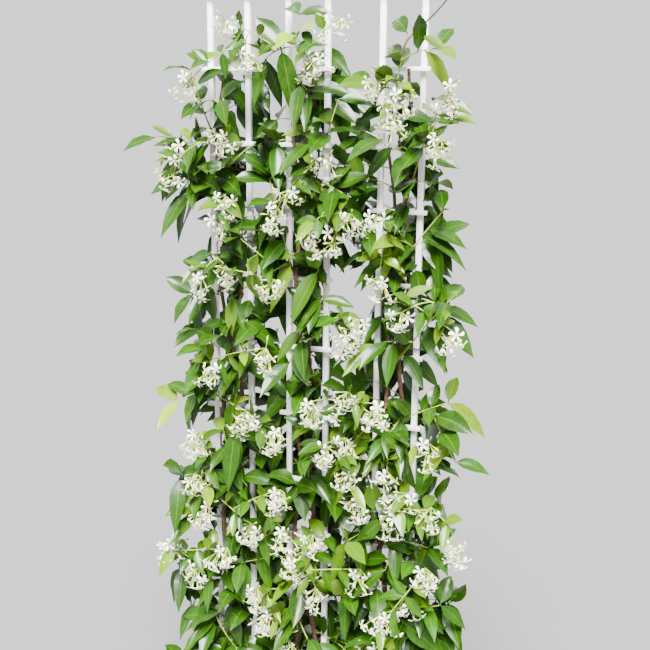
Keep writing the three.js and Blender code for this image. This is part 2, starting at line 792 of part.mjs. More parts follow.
// A five-petalled pinwheel on its tube, from a ring of three corners.
function addFlower(skin, ring, { place }) {
  const throat = [0, 1, 2].map((k) => {
    return addPoint(skin, place(flower.tube, (k / 3) * Math.PI * 2, flower.reach - flower.flare));
  });
  addBand(skin, ring, throat);
  const petals = Array.from({ length: 10 }, (_, k) => {
    const atTip = k % 2 === 0;
    const turn = (k / 10) * Math.PI * 2 + (atTip ? flower.twist : 0);
    return addPoint(skin, place(atTip ? flower.radius : flower.notch, turn, flower.reach));
  });
  const throatOf = (k) => throat[Math.round((k * 3) / 10) % 3];
  for (let k = 0; k < 10; k++) {
    const next = petals[(k + 1) % 10];
    skin.triangles.push(throatOf(k), next, petals[k]);
    if (throatOf(k + 1) !== throatOf(k)) skin.triangles.push(throatOf(k), throatOf(k + 1), next);
    if (k % 2 === 0) skin.triangles.push(petals[(k + 9) % 10], petals[k], next);
  }
  const notches = petals.filter((_, k) => k % 2 === 1);
  for (let k = 1; k < 4; k++) skin.triangles.push(notches[0], notches[k], notches[k + 1]);
}

// The flowers of each head: one on from the stalk's end, the others from the buds below it.
function growHeads(spray) {
  const draw = drawsFrom(Math.round(Math.abs(spray.hubs[0].x) + spray.hubs[0].z * 2) + 9000);
  spray.flowers = [];
  spray.stems.forEach(({ points, grown }, head) => {
    const hub = points[points.length - 1];
    const start = draw() * Math.PI * 2;
    const count = flower.heads[head % 3];
    for (let i = 0; i < count; i++) {
      const tilt = flower.open * (0.85 + 0.3 * draw());
      const spin = draw() * Math.PI;
      const kept = flowerSwings.some((swing) => {
        const turn = start + (i / count) * Math.PI * 2 + swing;
        const facing = new THREE.Vector3(Math.sin(tilt), 0, 0).applyAxisAngle(flowersLook, turn);
        facing.addScaledVector(flowersLook, Math.cos(tilt));
        const frame = flowerFrame(hub, facing, spin);
        const nearby = (other) => other.at.distanceTo(frame.at) < flower.radius * 1.9;
        if (spray.flowers.some(nearby)) return false;
        if (deepest(flowerBeads(frame, spray.name)) > 0) return false;
        return addToHead(spray.skin, grown, frame) && spray.flowers.push(frame);
      });
      if (kept) beads.push(...flowerBeads(spray.flowers[spray.flowers.length - 1], spray.name));
    }
    if (!grown.flowered) spray.skin.triangles.push(...grown.end);
  });
}

// Puts a flower on a head's stalk end, or else on one of the buds round it.
function addToHead(skin, grown, frame) {
  if (!grown.flowered && addIfClear(skin, () => addFlower(skin, grown.end, frame))) {
    grown.flowered = true;
    return true;
  }
  const halves = openHalves(skin, grown.joints[grown.joints.length - 1], frame.facing);
  return halves.some(({ bud, flip }) => {
    return addIfClear(skin, () => addFlower(skin, halfBud(skin, bud, flip), frame));
  });
}

// ---- The part

const plant = new THREE.Group();
const sides = Object.keys(ladder.centres);
const vines = {};
const shoots = [];
const sprays = [];

for (const side of sides) {
  vines[side] = vine.tops[side].map((top, which) => vineRoute(ladder.centres[side], which, top));
  for (const [which, route] of vines[side].entries()) {
    beadsAlong(route, vine.rootRadius, `vine-${side}-${which + 1}`);
  }
}
for (const side of sides) {
  leafyShoots[side].forEach((entry, i) => {
    const host = `vine-${side}-${entry.stem + 1}`;
    shoots.push(growShoot(entry, ladder.centres[side], `shoot-${side}-${i + 1}`, host));
  });
}
for (const side of sides) {
  bloomSprays[side].forEach((heads, i) => sprays.push(growSpray(heads, `blooms-${side}-${i + 1}`)));
}
for (const spray of sprays) growHeads(spray);
for (const grownShoot of shoots) growLeaves(grownShoot);

function vineSolid(route, extra) {
  const radii = tapered(vine.rootRadius + extra, vine.tipRadius + extra, route.length);
  return stemSolid(route, radii, vine.sides);
}

const routes = sides.flatMap((side) => vines[side]);
const widerVines = joined(routes.map((route) => vineSolid(route, seat * 1.4)));
const planted = [...sides.flatMap((side) => uprightHoles(ladder.centres[side])), widerVines];
plant.add(meshOf("trough", troughSolid(), "terracotta"));
plant.add(meshOf("soil", soilSolid(planted), "compost"));
for (const side of sides) {
  plant.add(meshOf(`ladder-${side}`, ladderSolid(ladder.centres[side]), "whitePlastic"));
  for (const [which, route] of vines[side].entries()) {
    plant.add(meshOf(`vine-${side}-${which + 1}`, vineSolid(route, 0), "bark"));
  }
}

// Each shoot and spray stops just short of the stem that it grows from.
for (const { name, skin } of shoots) {
  plant.add(meshOf(name, largestBody(closedSolid(skin).subtract(widerVines)), "foliage"));
}
for (const { name, host, skin } of sprays) {
  const { wider } = shoots.find((other) => other.name === host);
  plant.add(meshOf(name, largestBody(closedSolid(skin).subtract(wider)), "petals"));
}

export default plant;
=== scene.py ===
# Star jasmine on three white ladders in a terracotta trough. Sizes are in millimetres, the scene is in metres.
import json
import math

import bpy
import numpy as np
from mathutils import Matrix, Vector, noise

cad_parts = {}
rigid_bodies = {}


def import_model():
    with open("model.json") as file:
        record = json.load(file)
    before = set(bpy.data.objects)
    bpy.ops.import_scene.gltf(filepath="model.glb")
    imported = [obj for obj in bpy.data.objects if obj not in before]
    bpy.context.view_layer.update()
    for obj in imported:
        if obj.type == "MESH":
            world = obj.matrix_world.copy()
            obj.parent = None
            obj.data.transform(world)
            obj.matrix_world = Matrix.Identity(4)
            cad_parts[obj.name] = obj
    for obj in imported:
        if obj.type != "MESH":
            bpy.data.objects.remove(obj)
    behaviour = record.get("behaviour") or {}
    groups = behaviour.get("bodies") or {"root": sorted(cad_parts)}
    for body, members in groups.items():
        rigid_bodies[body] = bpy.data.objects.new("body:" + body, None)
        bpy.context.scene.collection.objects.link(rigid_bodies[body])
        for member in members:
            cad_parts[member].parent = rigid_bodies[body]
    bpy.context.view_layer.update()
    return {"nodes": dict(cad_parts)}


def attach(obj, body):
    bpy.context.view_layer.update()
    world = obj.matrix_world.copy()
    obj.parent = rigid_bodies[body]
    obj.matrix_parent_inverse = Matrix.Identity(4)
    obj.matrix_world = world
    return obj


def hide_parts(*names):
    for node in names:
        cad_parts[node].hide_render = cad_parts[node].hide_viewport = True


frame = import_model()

up = np.array([0.0, 0.0, 1.0])


# Repeatable draws, so that the plant grows the same each time.
def drawsFrom(seed):
    state = [(seed * 7919 + 104729) % 2147483647]

    def draw(low=0.0, high=1.0):
        state[0] = state[0] * 48271 % 2147483647
        return low + (high - low) * state[0] / 2147483647

    return draw


def unit(vector):
    return vector / np.linalg.norm(vector)


# Hex as a paint chart gives it, turned to the linear values that the shaders use.
def paint(hexColour):
    parts = [int(hexColour[i:i + 2], 16) / 255 for i in (1, 3, 5)]
    return [c / 12.92 if c <= 0.04045 else ((c + 0.055) / 1.055) ** 2.4 for c in parts] + [1.0]


# Adds a node with its settings, values and links, and gives back one output.
def addNode(tree, kind, values, give=0):
    made = tree.nodes.new(kind)
    for key, value in values.items():
        if isinstance(key, str) and hasattr(made, key):
            setattr(made, key, value)
        elif isinstance(value, bpy.types.NodeSocket):
            tree.links.new(value, made.inputs[key])
        else:
            made.inputs[key].default_value = value
    return made.outputs if give is None else made.outputs[give]


def startMaterial(name, values):
    material = bpy.data.materials.new(name)
    material.use_nodes = True
    tree = material.node_tree
    shader = tree.nodes["Principled BSDF"]
    for key, value in values.items():
        shader.inputs[key].default_value = value
    return material, tree, shader, addNode(tree, "ShaderNodeTexCoord", {}, "Object")


# Lays colours over a first one, each where its factor is high.
def glaze(tree, colour, layers):
    for factor, over in layers:
        colour = addNode(tree, "ShaderNodeMix", {"data_type": "RGBA", 0: factor, 6: colour,
                                                 7: paint(over) if isinstance(over, str) else over}, 2)
    return colour


def finishMaterial(tree, shader, colour, rough, relief, depth, strength=0.8):
    tree.links.new(colour, shader.inputs["Base Color"])
    tree.links.new(rough, shader.inputs["Roughness"])
    normal = addNode(tree, "ShaderNodeBump", {"Height": relief, "Distance": depth * 0.001, "Strength": strength})
    tree.links.new(normal, shader.inputs["Normal"])


# Turns a modelled object into its points and faces, in millimetres, and takes it away.
def takeShape(made):
    mesh = made.data
    points = np.empty(len(mesh.vertices) * 3)
    mesh.vertices.foreach_get("co", points)
    faces = [tuple(face.vertices) for face in mesh.polygons]
    bpy.data.objects.remove(made)
    return points.reshape(-1, 3) * 1000, faces


def nothingSelected():
    if bpy.context.object and bpy.context.object.mode != "OBJECT":
        bpy.ops.object.mode_set(mode="OBJECT")
    bpy.ops.object.select_all(action="DESELECT")


def applyAll(made):
    nothingSelected()
    bpy.context.view_layer.objects.active = made
    made.select_set(True)
    for modifier in list(made.modifiers):
        bpy.ops.object.modifier_apply(modifier=modifier.name)
    bpy.ops.object.transform_apply(location=True, rotation=True, scale=True)


# A growing mesh: points, faces with their material, place on the blade, and tone (age, tint, underside); on leaves the
# age also carries painted shade, as leaves further back are given older, darker ages.
def newGrowth():
    return {"points": [], "faces": [], "looks": [], "blade": [], "tone": [], "count": 0}


def addGrowth(growth, points, faces, look, blade=None, tone=(0.5, 0.5, 0.0)):
    points = np.asarray(points, float).reshape(-1, 3)
    start = growth["count"]
    growth["points"].append(points)
    growth["faces"].extend([tuple(start + i for i in face) for face in faces])
    growth["looks"].extend([look] * len(faces))
    growth["blade"].append(np.zeros((len(points), 2)) if blade is None else np.asarray(blade, float))
    growth["tone"].append(np.broadcast_to(np.asarray(tone, float), (len(points), 3)))
    growth["count"] += len(points)


def makePiece(name, growth, looks, nodes=()):
    mesh = bpy.data.meshes.new(name)
    points = np.concatenate(growth["points"])
    mesh.from_pydata((points * 0.001).tolist(), [], growth["faces"])
    for look in looks:
        mesh.materials.append(look)
    mesh.polygons.foreach_set("material_index", growth["looks"])
    mesh.polygons.foreach_set("use_smooth", [True] * len(mesh.polygons))
    corners = np.empty(len(mesh.loops), np.int32)
    mesh.loops.foreach_get("vertex_index", corners)
    blade = np.concatenate(growth["blade"])
    mesh.uv_layers.new(name="blade").data.foreach_set("uv", blade[corners].ravel())
    tone = np.column_stack([np.concatenate(growth["tone"]), np.ones(len(points))])
    mesh.color_attributes.new("tone", "FLOAT_COLOR", "POINT").data.foreach_set("color", tone.ravel())
    mesh.set_sharp_from_angle(angle=math.radians(60))
    piece = bpy.data.objects.new(name, mesh)
    bpy.context.scene.collection.objects.link(piece)
    settle(piece, nodes)
    return piece


# Hangs a piece on the root body and hides the plain solids that it stands in for.
def settle(piece, nodes=()):
    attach(piece, "root")
    if nodes:
        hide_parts(*nodes)


# The trough: thrown-look terracotta, swept up from its foot and hollowed.
trough = {"width": 520, "depth": 260, "height": 280, "taper": 16, "wall": 13, "floor": 16, "corner": 34,
          "lip": 7, "rim": 32, "drainRadius": 9, "drainSpacing": 220, "edge": 2.2}


def halfSizes(z, offset):
    lean = trough["lip"] + trough["taper"] * (1 - z / trough["height"]) - offset
    return trough["width"] / 2 - lean, trough["depth"] / 2 - lean


def roundedSheet(halfX, halfY, z, radius):
    nothingSelected()
    bpy.ops.mesh.primitive_plane_add(size=1, location=(0, 0, z * 0.001))
    made = bpy.context.object
    made.scale = (halfX * 0.002, halfY * 0.002, 1)
    bpy.ops.object.transform_apply(location=True, rotation=True, scale=True)
    bpy.ops.object.mode_set(mode="EDIT")
    bpy.ops.mesh.select_all(action="SELECT")
    bpy.ops.mesh.bevel(offset=radius * 0.001, segments=8, affect="VERTICES")
    return made


# Pulls the selected sheet up or in, step by step, to each level and size.
def sweepUp(levels, last):
    for z, offset in levels:
        size = halfSizes(z, offset)
        bpy.ops.mesh.extrude_region_move(TRANSFORM_OT_translate={"value": (0, 0, (z - last[2]) * 0.001)})
        bpy.ops.transform.resize(value=(size[0] / last[0], size[1] / last[1], 1), center_override=(0, 0, 0))
        last = (*size, z)


def modelTrough():
    foot = halfSizes(0, -4)
    made = roundedSheet(*foot, 0, trough["corner"] - 4)
    height, rim, lip, wall = (trough[key] for key in ("height", "rim", "lip", "wall"))
    sweepUp([(5, 0), (60, 0), (120, 0), (180, 0), (height - rim - 4, 0), (height - rim, lip - 2),
             (height - rim + 3, lip), (height - 5, lip), (height - 1.4, lip - 1.4), (height, lip - 5),
             (height, -wall + 5), (height - 1.4, -wall + 1.4), (height - 6, -wall), (150, -wall),
             (trough["floor"] + 6, -wall), (trough["floor"], -wall - 6)], (*foot, 0))
    bpy.ops.mesh.select_all(action="SELECT")
    bpy.ops.mesh.normals_make_consistent(inside=False)
    nothingSelected()
    for step in (-0.5, 0.5):
        nothingSelected()
        bpy.ops.mesh.primitive_cylinder_add(vertices=32, radius=trough["drainRadius"] * 0.001, depth=0.06,
                                            location=(step * trough["drainSpacing"] * 0.001, 0, 0))
        cutter = bpy.context.object
        hole = made.modifiers.new("drain", "BOOLEAN")
        hole.operation = "DIFFERENCE"
        hole.object = cutter
        applyAll(made)
        bpy.data.objects.remove(cutter)
    made.name = made.data.name = "trough"
    nothingSelected()
    made.select_set(True)
    bpy.context.view_layer.objects.active = made
    bpy.ops.object.shade_smooth_by_angle(angle=math.radians(40))
    made.data.materials.append(terracotta())
    settle(made, ["trough"])


# Fired terracotta: matt, mottled by the kiln, with pale salts above the foot and grit in the clay.
def terracotta():
    material, tree, shader, place = startMaterial("firedTerracotta", {"Specular IOR Level": 0.35})
    broad = addNode(tree, "ShaderNodeTexNoise", {"Vector": place, "Scale": 9, "Detail": 6, "Roughness": 0.6})
    fine = addNode(tree, "ShaderNodeTexNoise", {"Vector": place, "Scale": 260, "Detail": 5, "Roughness": 0.7})
    grit = addNode(tree, "ShaderNodeTexVoronoi", {"Vector": place, "Scale": 420})
    turned = addNode(tree, "ShaderNodeMapping", {"Vector": place, "Scale": (1, 1, 26)})
    rings = addNode(tree, "ShaderNodeTexNoise", {"Vector": turned, "Scale": 7, "Detail": 3})
    height = addNode(tree, "ShaderNodeSeparateXYZ", {"Vector": place}, "Z")
    low = addNode(tree, "ShaderNodeMapRange", {"Value": height, "From Min": 0.1, "From Max": 0.0, "To Max": 0.5})
    cloud = addNode(tree, "ShaderNodeTexNoise", {"Vector": place, "Scale": 26, "Detail": 6, "Roughness": 0.65})
    cloud = addNode(tree, "ShaderNodeMapRange", {"Value": cloud, "From Min": 0.42, "From Max": 0.66})
    salts = addNode(tree, "ShaderNodeMath", {"operation": "MULTIPLY", 0: low, 1: cloud})
    mottle = addNode(tree, "ShaderNodeMapRange", {"Value": broad, "From Min": 0.35, "From Max": 0.7})
    pale = addNode(tree, "ShaderNodeMapRange", {"Value": fine, "From Min": 0.5, "From Max": 0.8, "To Max": 0.45})
    dots = addNode(tree, "ShaderNodeMapRange", {"Value": grit, "From Min": 0.16, "From Max": 0.05, "To Max": 0.5})
    colour = glaze(tree, paint("#75351a"), [(mottle, "#884627"), (pale, "#98613f"), (dots, "#532816"),
                                            (salts, "#ab9583")])
    rough = addNode(tree, "ShaderNodeMapRange", {"Value": fine, "To Min": 0.7, "To Max": 0.95})
    relief = addNode(tree, "ShaderNodeMath", {"operation": "ADD", 0: fine, 1: rings})
    finishMaterial(tree, shader, colour, rough, relief, 0.5, 0.6)
    return material


# The compost: a crowned bed with loose bark chips on it.
soil = {"top": 256, "crown": 12, "crownWidth": 410, "crownDepth": 180, "chips": 900, "chipSize": 9, "gap": 0.3}


def soilHeight(x, y):
    share = 1 - (x / soil["crownWidth"] * 2) ** 2 - (y / soil["crownDepth"] * 2) ** 2
    crown = soil["crown"] * math.sqrt(share) if share > 0 else 0
    at = Vector((x, y, 0))
    return soil["top"] + crown * 0.9 + noise.fractal(at * 0.03, 1, 2, 3) * 1.6 + noise.noise(at * 0.2) * 0.9 - 1.2


# The rounded outline's edge in a direction, for a square grid pulled out to it.
def roundedPlace(u, v, halfX, halfY, radius):
    reach = max(abs(u), abs(v), 1e-9)
    x, y = u / reach * halfX, v / reach * halfY
    innerX, innerY = halfX - radius, halfY - radius
    if abs(x) > innerX and abs(y) > innerY:
        corner = np.array([abs(x) - innerX, abs(y) - innerY])
        corner = unit(corner) * radius
        x, y = math.copysign(innerX + corner[0], x), math.copysign(innerY + corner[1], y)
    return x * reach, y * reach


def modelCompost():
    halfX, halfY = halfSizes(soil["top"], -trough["wall"] - soil["gap"])
    nothingSelected()
    bpy.ops.mesh.primitive_grid_add(x_subdivisions=110, y_subdivisions=54, size=2)
    bed = bpy.context.object
    bed.name = bed.data.name = "compost"
    for corner in bed.data.vertices:
        x, y = roundedPlace(corner.co.x, corner.co.y, halfX, halfY, trough["corner"] - trough["wall"])
        corner.co = (x * 0.001, y * 0.001, soilHeight(x, y) * 0.001)
    bpy.ops.object.mode_set(mode="EDIT")
    bpy.ops.mesh.select_all(action="SELECT")
    bpy.ops.mesh.region_to_loop()
    bpy.ops.mesh.extrude_edges_move(TRANSFORM_OT_translate={"value": (0, 0, -0.05)})
    bpy.ops.mesh.edge_face_add()
    bpy.ops.mesh.select_all(action="SELECT")
    bpy.ops.mesh.normals_make_consistent(inside=False)
    nothingSelected()
    bed.select_set(True)
    bpy.ops.object.shade_smooth_by_angle(angle=math.radians(60))
    bed.data.materials.append(compost("darkCompost", "#1f150e", "#3e2d20"))
    settle(bed, ["soil"])
    layChips(halfX, halfY)


# One chip is modelled, and each copy is turned, stretched and laid on the bed.
def layChips(halfX, halfY):
    nothingSelected()
    bpy.ops.mesh.primitive_cube_add(size=0.002)
    made = bpy.context.object
    bpy.ops.object.mode_set(mode="EDIT")
    bpy.ops.mesh.select_all(action="SELECT")
    bpy.ops.mesh.bevel(offset=0.0005, segments=1)
    nothingSelected()
    points, faces = takeShape(made)
    draw = drawsFrom(77)
    growth = newGrowth()
    for _ in range(soil["chips"]):
        x, y = draw(-1, 1) * (halfX - 9), draw(-1, 1) * (halfY - 9)
        size = soil["chipSize"] * draw(0.35, 1.0)
        turn = Matrix.Rotation(draw(0, math.tau), 3, "Z") @ Matrix.Rotation(draw(-0.5, 0.5), 3, "X")
        turn = np.array(turn @ Matrix.Rotation(draw(-0.4, 0.4), 3, "Y"))
        shaped = points * [size, size * draw(0.3, 0.7), size * draw(0.12, 0.3)]
        shaped = shaped + [noise.noise_vector(Vector(point) * 0.35 + Vector((x, y, 0))) * size * 0.12 for point in points]
        addGrowth(growth, shaped @ turn.T + [x, y, soilHeight(x, y) + size * 0.08], faces, 0, None, (0.5, draw(), 0))
    makePiece("barkChips", growth, [compost("barkChip", "#291a12", "#523a28")])


# Peat-free compost: dark, fibrous and quite matt; the chips are the same stuff, browner.
def compost(name, dark, pale):
    material, tree, shader, place = startMaterial(name, {"Specular IOR Level": 0.2})
    grain = addNode(tree, "ShaderNodeTexNoise", {"Vector": place, "Scale": 240, "Detail": 8, "Roughness": 0.7})
    fibre = addNode(tree, "ShaderNodeTexNoise", {"Vector": place, "Scale": 60, "Detail": 4, "Distortion": 1.5})
    mottle = addNode(tree, "ShaderNodeMapRange", {"Value": grain, "From Min": 0.35, "From Max": 0.7})
    strand = addNode(tree, "ShaderNodeMapRange", {"Value": fibre, "From Min": 0.58, "From Max": 0.66, "To Max": 0.5})
    colour = glaze(tree, paint(dark), [(mottle, pale), (strand, "#7d6044")])
    rough = addNode(tree, "ShaderNodeMapRange", {"Value": grain, "To Min": 0.85, "To Max": 1.0})
    finishMaterial(tree, shader, colour, rough, grain, 1.4, 0.9)
    return material


# The ladders: white plastic uprights with rungs on their front, in stacked modules.
ladder = {"centres": {"left": -172, "middle": -12, "right": 170}, "spacing": 77, "upright": 11, "foot": 61,
          "top": 1765, "rungHeight": 8, "rungDepth": 11, "overhang": 10, "moduleRungs": 5, "pitch": 138,
          "moduleEnd": 58, "edge": 1.6, "seam": 1.1, "seamDepth": 0.7}


def moduleFeet():
    length = (ladder["moduleRungs"] - 1) * ladder["pitch"] + 2 * ladder["moduleEnd"]
    return [z for z in (ladder["foot"] + i * length for i in range(9)) if z < ladder["top"]]


def rungLevels():
    levels = [foot + ladder["moduleEnd"] + i * ladder["pitch"] for foot in moduleFeet()
              for i in range(ladder["moduleRungs"])]
    return [z for z in levels if trough["height"] < z < ladder["top"]]


rungs = rungLevels()


# A bar with rounded edges; grooves pinch it in at the module seams.
def modelBar(size, place, grooves=()):
    nothingSelected()
    bpy.ops.mesh.primitive_cube_add(size=1, location=[c * 0.001 for c in place], scale=[c * 0.001 for c in size])
    bar = bpy.context.object
    bpy.ops.object.transform_apply(location=True, rotation=True, scale=True)
    bpy.ops.object.mode_set(mode="EDIT")
    for z in grooves:
        for step in (-1.5, -0.5, 0.5, 1.5):
            bpy.ops.mesh.select_all(action="SELECT")
            bpy.ops.mesh.bisect(plane_co=(0, 0, (z + step * ladder["seam"]) * 0.001), plane_no=(0, 0, 1))
    nothingSelected()
    pinch = 1 - 2 * ladder["seamDepth"] / ladder["upright"]
    for corner in bar.data.vertices:
        if any(abs(corner.co.z * 1000 - z) < ladder["seam"] for z in grooves):
            corner.co.x = (corner.co.x * 1000 - place[0]) * pinch * 0.001 + place[0] * 0.001
            corner.co.y *= pinch
    soften = bar.modifiers.new("edge", "BEVEL")
    soften.width = ladder["edge"] * 0.001
    soften.segments = 2
    soften.limit_method = "ANGLE"
    soften.angle_limit = math.radians(60)
    applyAll(bar)
    return bar


def modelLadder(side, look):
    centre, half = ladder["centres"][side], ladder["upright"] / 2
    height = ladder["top"] - ladder["foot"]
    seams = [z for z in moduleFeet() if z > trough["height"]]
    bars = [modelBar((ladder["upright"], ladder["upright"], height),
                     (centre + step * ladder["spacing"], 0, ladder["foot"] + height / 2), seams)
            for step in (-0.5, 0.5)]
    width = ladder["spacing"] + ladder["upright"] + 2 * ladder["overhang"]
    bars += [modelBar((width, ladder["rungDepth"], ladder["rungHeight"]), (centre, -half - ladder["rungDepth"] / 2, z))
             for z in rungs]
    nothingSelected()
    for bar in bars:
        bar.select_set(True)
    bpy.context.view_layer.objects.active = bars[0]
    bpy.ops.object.join()
    made = bpy.context.object
    made.name = made.data.name = f"ladder-{side}-moulded"
    bpy.ops.object.shade_smooth_by_angle(angle=math.radians(40))
    made.data.materials.append(look)
    settle(made, [f"ladder-{side}"])


# Moulded polypropylene: a satin skin, a little translucent, with rain marks from a season outdoors.
def whitePlastic():
    material, tree, shader, place = startMaterial("mouldedPolypropylene", {
        "IOR": 1.49, "Subsurface Weight": 0.05, "Subsurface Scale": 0.002})
    film = addNode(tree, "ShaderNodeTexNoise", {"Vector": place, "Scale": 12, "Detail": 6, "Roughness": 0.6})
    stretched = addNode(tree, "ShaderNodeMapping", {"Vector": place, "Scale": (1, 1, 0.16)})
    rain = addNode(tree, "ShaderNodeTexNoise", {"Vector": stretched, "Scale": 210, "Detail": 4, "Roughness": 0.7})
    skin = addNode(tree, "ShaderNodeTexNoise", {"Vector": place, "Scale": 900, "Detail": 2})
    dull = addNode(tree, "ShaderNodeMapRange", {"Value": film, "From Min": 0.45, "From Max": 0.8, "To Max": 0.8})
    marks = addNode(tree, "ShaderNodeMapRange", {"Value": rain, "From Min": 0.6, "From Max": 0.8, "To Max": 0.35})
    colour = glaze(tree, paint("#fbfbfa"), [(dull, "#f2f1ed"), (marks, "#dad8ce")])
    rough = addNode(tree, "ShaderNodeMapRange", {"Value": film, "To Min": 0.3, "To Max": 0.6})
    finishMaterial(tree, shader, colour, rough, skin, 0.08, 0.5)
    return material


# The vines: two woody stems to a ladder, woven in front of and behind its rungs.
vine = {"apart": 15, "front": -27, "back": 8, "foot": 190, "rootRadius": 5.6, "tipRadius": 3, "sway": 3,
        "sides": 9, "steps": 9, "tops": {"left": [9, 8], "middle": [9, 9], "right": [8, 9]}}


def vineRoute(side, which, lastRung):
    x = ladder["centres"][side] + (-vine["apart"] if which == 0 else vine["apart"])
    route = [(x, 0, vine["foot"]), (x, -4, soil["top"] + soil["crown"] + 20)]
    for k in range(lastRung + 1):
        route.append((x + vine["sway"] * math.sin(k * 2.1 + which), vine["front"] if k % 2 == which else vine["back"],
                      rungs[k]))
    return np.array(route, float)


# A smooth way through points, with a few steps between each two.
def smoothWay(points, steps):
    points = np.asarray(points, float)
    padded = np.vstack([2 * points[0] - points[1], points, 2 * points[-1] - points[-2]])
    way = []
    for i in range(1, len(padded) - 2):
        a, b, c, d = padded[i - 1:i + 3]
        for t in np.arange(steps) / steps:
            way.append(0.5 * (2 * b + (c - a) * t + (2 * a - 5 * b + 4 * c - d) * t * t
                              + (3 * b - a - 3 * c + d) * t ** 3))
    way.append(points[-1])
    return np.array(way)


# A closed stem along a way; its ages run from the first end to the last.
def addStem(growth, way, radii, sides, look, ages=(0.0, 0.0)):
    rings = []
    side = np.array([0.3, 0.9, 0.1])
    for i, point in enumerate(way):
        along = unit(way[min(i + 1, len(way) - 1)] - way[max(i - 1, 0)])
        side = unit(side - along * side.dot(along))
        across = np.cross(along, side)
        for k in range(sides):
            turn = k / sides * math.tau
            rings.append(point + (side * math.cos(turn) + across * math.sin(turn)) * radii[i])
    faces = []
    for i in range(len(way) - 1):
        for k in range(sides):
            a, b = i * sides + k, i * sides + (k + 1) % sides
            faces.append((a, b, b + sides, a + sides))
    faces += [tuple(range(sides - 1, -1, -1)), tuple((len(way) - 1) * sides + k for k in range(sides))]
    share = np.repeat(np.linspace(0, 1, len(way)), sides)
    tone = np.column_stack([ages[0] + (ages[1] - ages[0]) * share, share * 0 + 0.5, share * 0])
    addGrowth(growth, rings, faces, look, np.column_stack([share * 0 + 0.5, share]), tone)


def modelVine(side, which, look):
    way = smoothWay(vineRoute(side, which, vine["tops"][side][which]), vine["steps"])
    draw = drawsFrom(300 + which * 7 + abs(ladder["centres"][side]))
    knots = [draw(0.0, 1.0) for _ in way]
    radii = []
    for i, knot in enumerate(knots):
        share = i / (len(way) - 1)
        swelling = 0.9 if i % 5 == 0 else 0.12 * knot
        radii.append(vine["rootRadius"] + (vine["tipRadius"] - vine["rootRadius"]) * share + swelling * (1 - share * 0.4))
    growth = newGrowth()
    addStem(growth, way, radii, vine["sides"], 0)
    makePiece(f"vine-{side}-{which + 1}-bark", growth, [look], [f"vine-{side}-{which + 1}"])


# Jasmine bark: brown, ridged lengthways, with pale breathing pores and some green lichen.
def vineBark():
    material, tree, shader, place = startMaterial("jasmineBark", {"Specular IOR Level": 0.3})
    stretched = addNode(tree, "ShaderNodeMapping", {"Vector": place, "Scale": (1, 1, 0.2)})
    ridges = addNode(tree, "ShaderNodeTexNoise", {"Vector": stretched, "Scale": 420, "Detail": 5, "Distortion": 0.8})
    pores = addNode(tree, "ShaderNodeTexVoronoi", {"Vector": place, "Scale": 210})
    lichen = addNode(tree, "ShaderNodeTexNoise", {"Vector": place, "Scale": 22, "Detail": 4})
    worn = addNode(tree, "ShaderNodeMapRange", {"Value": ridges, "From Min": 0.3, "From Max": 0.7})
    spots = addNode(tree, "ShaderNodeMapRange", {"Value": pores, "From Min": 0.2, "From Max": 0.1, "To Max": 0.6})
    green = addNode(tree, "ShaderNodeMapRange", {"Value": lichen, "From Min": 0.5, "From Max": 0.75, "To Max": 0.6})
    colour = glaze(tree, paint("#33241b"), [(worn, "#735340"), (green, "#6c6a4a"), (spots, "#9c886e")])
    rough = addNode(tree, "ShaderNodeMapRange", {"Value": ridges, "To Min": 0.7, "To Max": 0.95})
    finishMaterial(tree, shader, colour, rough, ridges, 0.9)
    return material


# The shoots and sprays: where each ends, across and up, as the solids have them.
shoot = {"radius": 1.7, "tipRadius": 1.0, "steps": [4, 3], "front": -62, "back": 66, "spread": 16, "sides": 6}
stalk = {"radius": 1.25, "tipRadius": 0.95, "steps": [2, 2], "front": -92, "spread": 10, "shortest": 22, "places": 14,
         "sides": 6}
arch = {"swells": [18, 34, 6, 50, -6, 66], "lifts": [10, 30, -12], "sways": [0, 16, -16]}
leafyShoots = {
    "left": [
        (0, 8, [[-225, 1590], [-160, 1535]]),
        (1, 7, [[-300, 1465], [-235, 1365], [-90, 1465]]),
        (0, 6, [[-140, 1390], [-195, 1230], [-80, 1245]]),
        (0, 4, [[-215, 1090], [-120, 1120], [-260, 945]]),
        (1, 3, [[-165, 890], [-115, 780], [-225, 705]]),
        (1, 1, [[-195, 600], [-125, 520], [-215, 445], [-150, 405]]),
        (1, 6, [[-190, 1440], [-130, 1265]]),
        (0, 3, [[-195, 900], [-205, 640]]),
    ],
    "middle": [
        (0, 8, [[-5, 1685], [-70, 1610], [10, 1555]]),
        (1, 7, [[70, 1540], [15, 1465], [90, 1370]]),
        (0, 6, [[-70, 1390], [45, 1380], [-25, 1235]]),
        (1, 5, [[45, 1200], [-5, 1110], [-40, 1010]]),
        (1, 3, [[35, 955], [75, 880], [15, 810]]),
        (1, 1, [[45, 685], [-35, 585], [90, 565], [-5, 480], [40, 415]]),
        (1, 6, [[25, 1450], [-40, 1270]]),
        (0, 3, [[-35, 940], [35, 700]]),
    ],
    "right": [
        (0, 8, [[195, 1650], [250, 1625], [125, 1555]]),
        (1, 7, [[245, 1515], [125, 1485], [195, 1455]]),
        (0, 6, [[265, 1350], [195, 1295], [160, 1265]]),
        (1, 5, [[300, 1210], [230, 1190], [145, 1095]]),
        (0, 4, [[290, 1005], [305, 890], [170, 900]]),
        (0, 2, [[240, 810], [170, 750], [255, 700], [175, 645]]),
        (1, 1, [[285, 590], [145, 530], [210, 450], [255, 410]]),
        (1, 6, [[190, 1450], [145, 1280]]),
        (0, 3, [[205, 940], [150, 690]]),
    ],
}
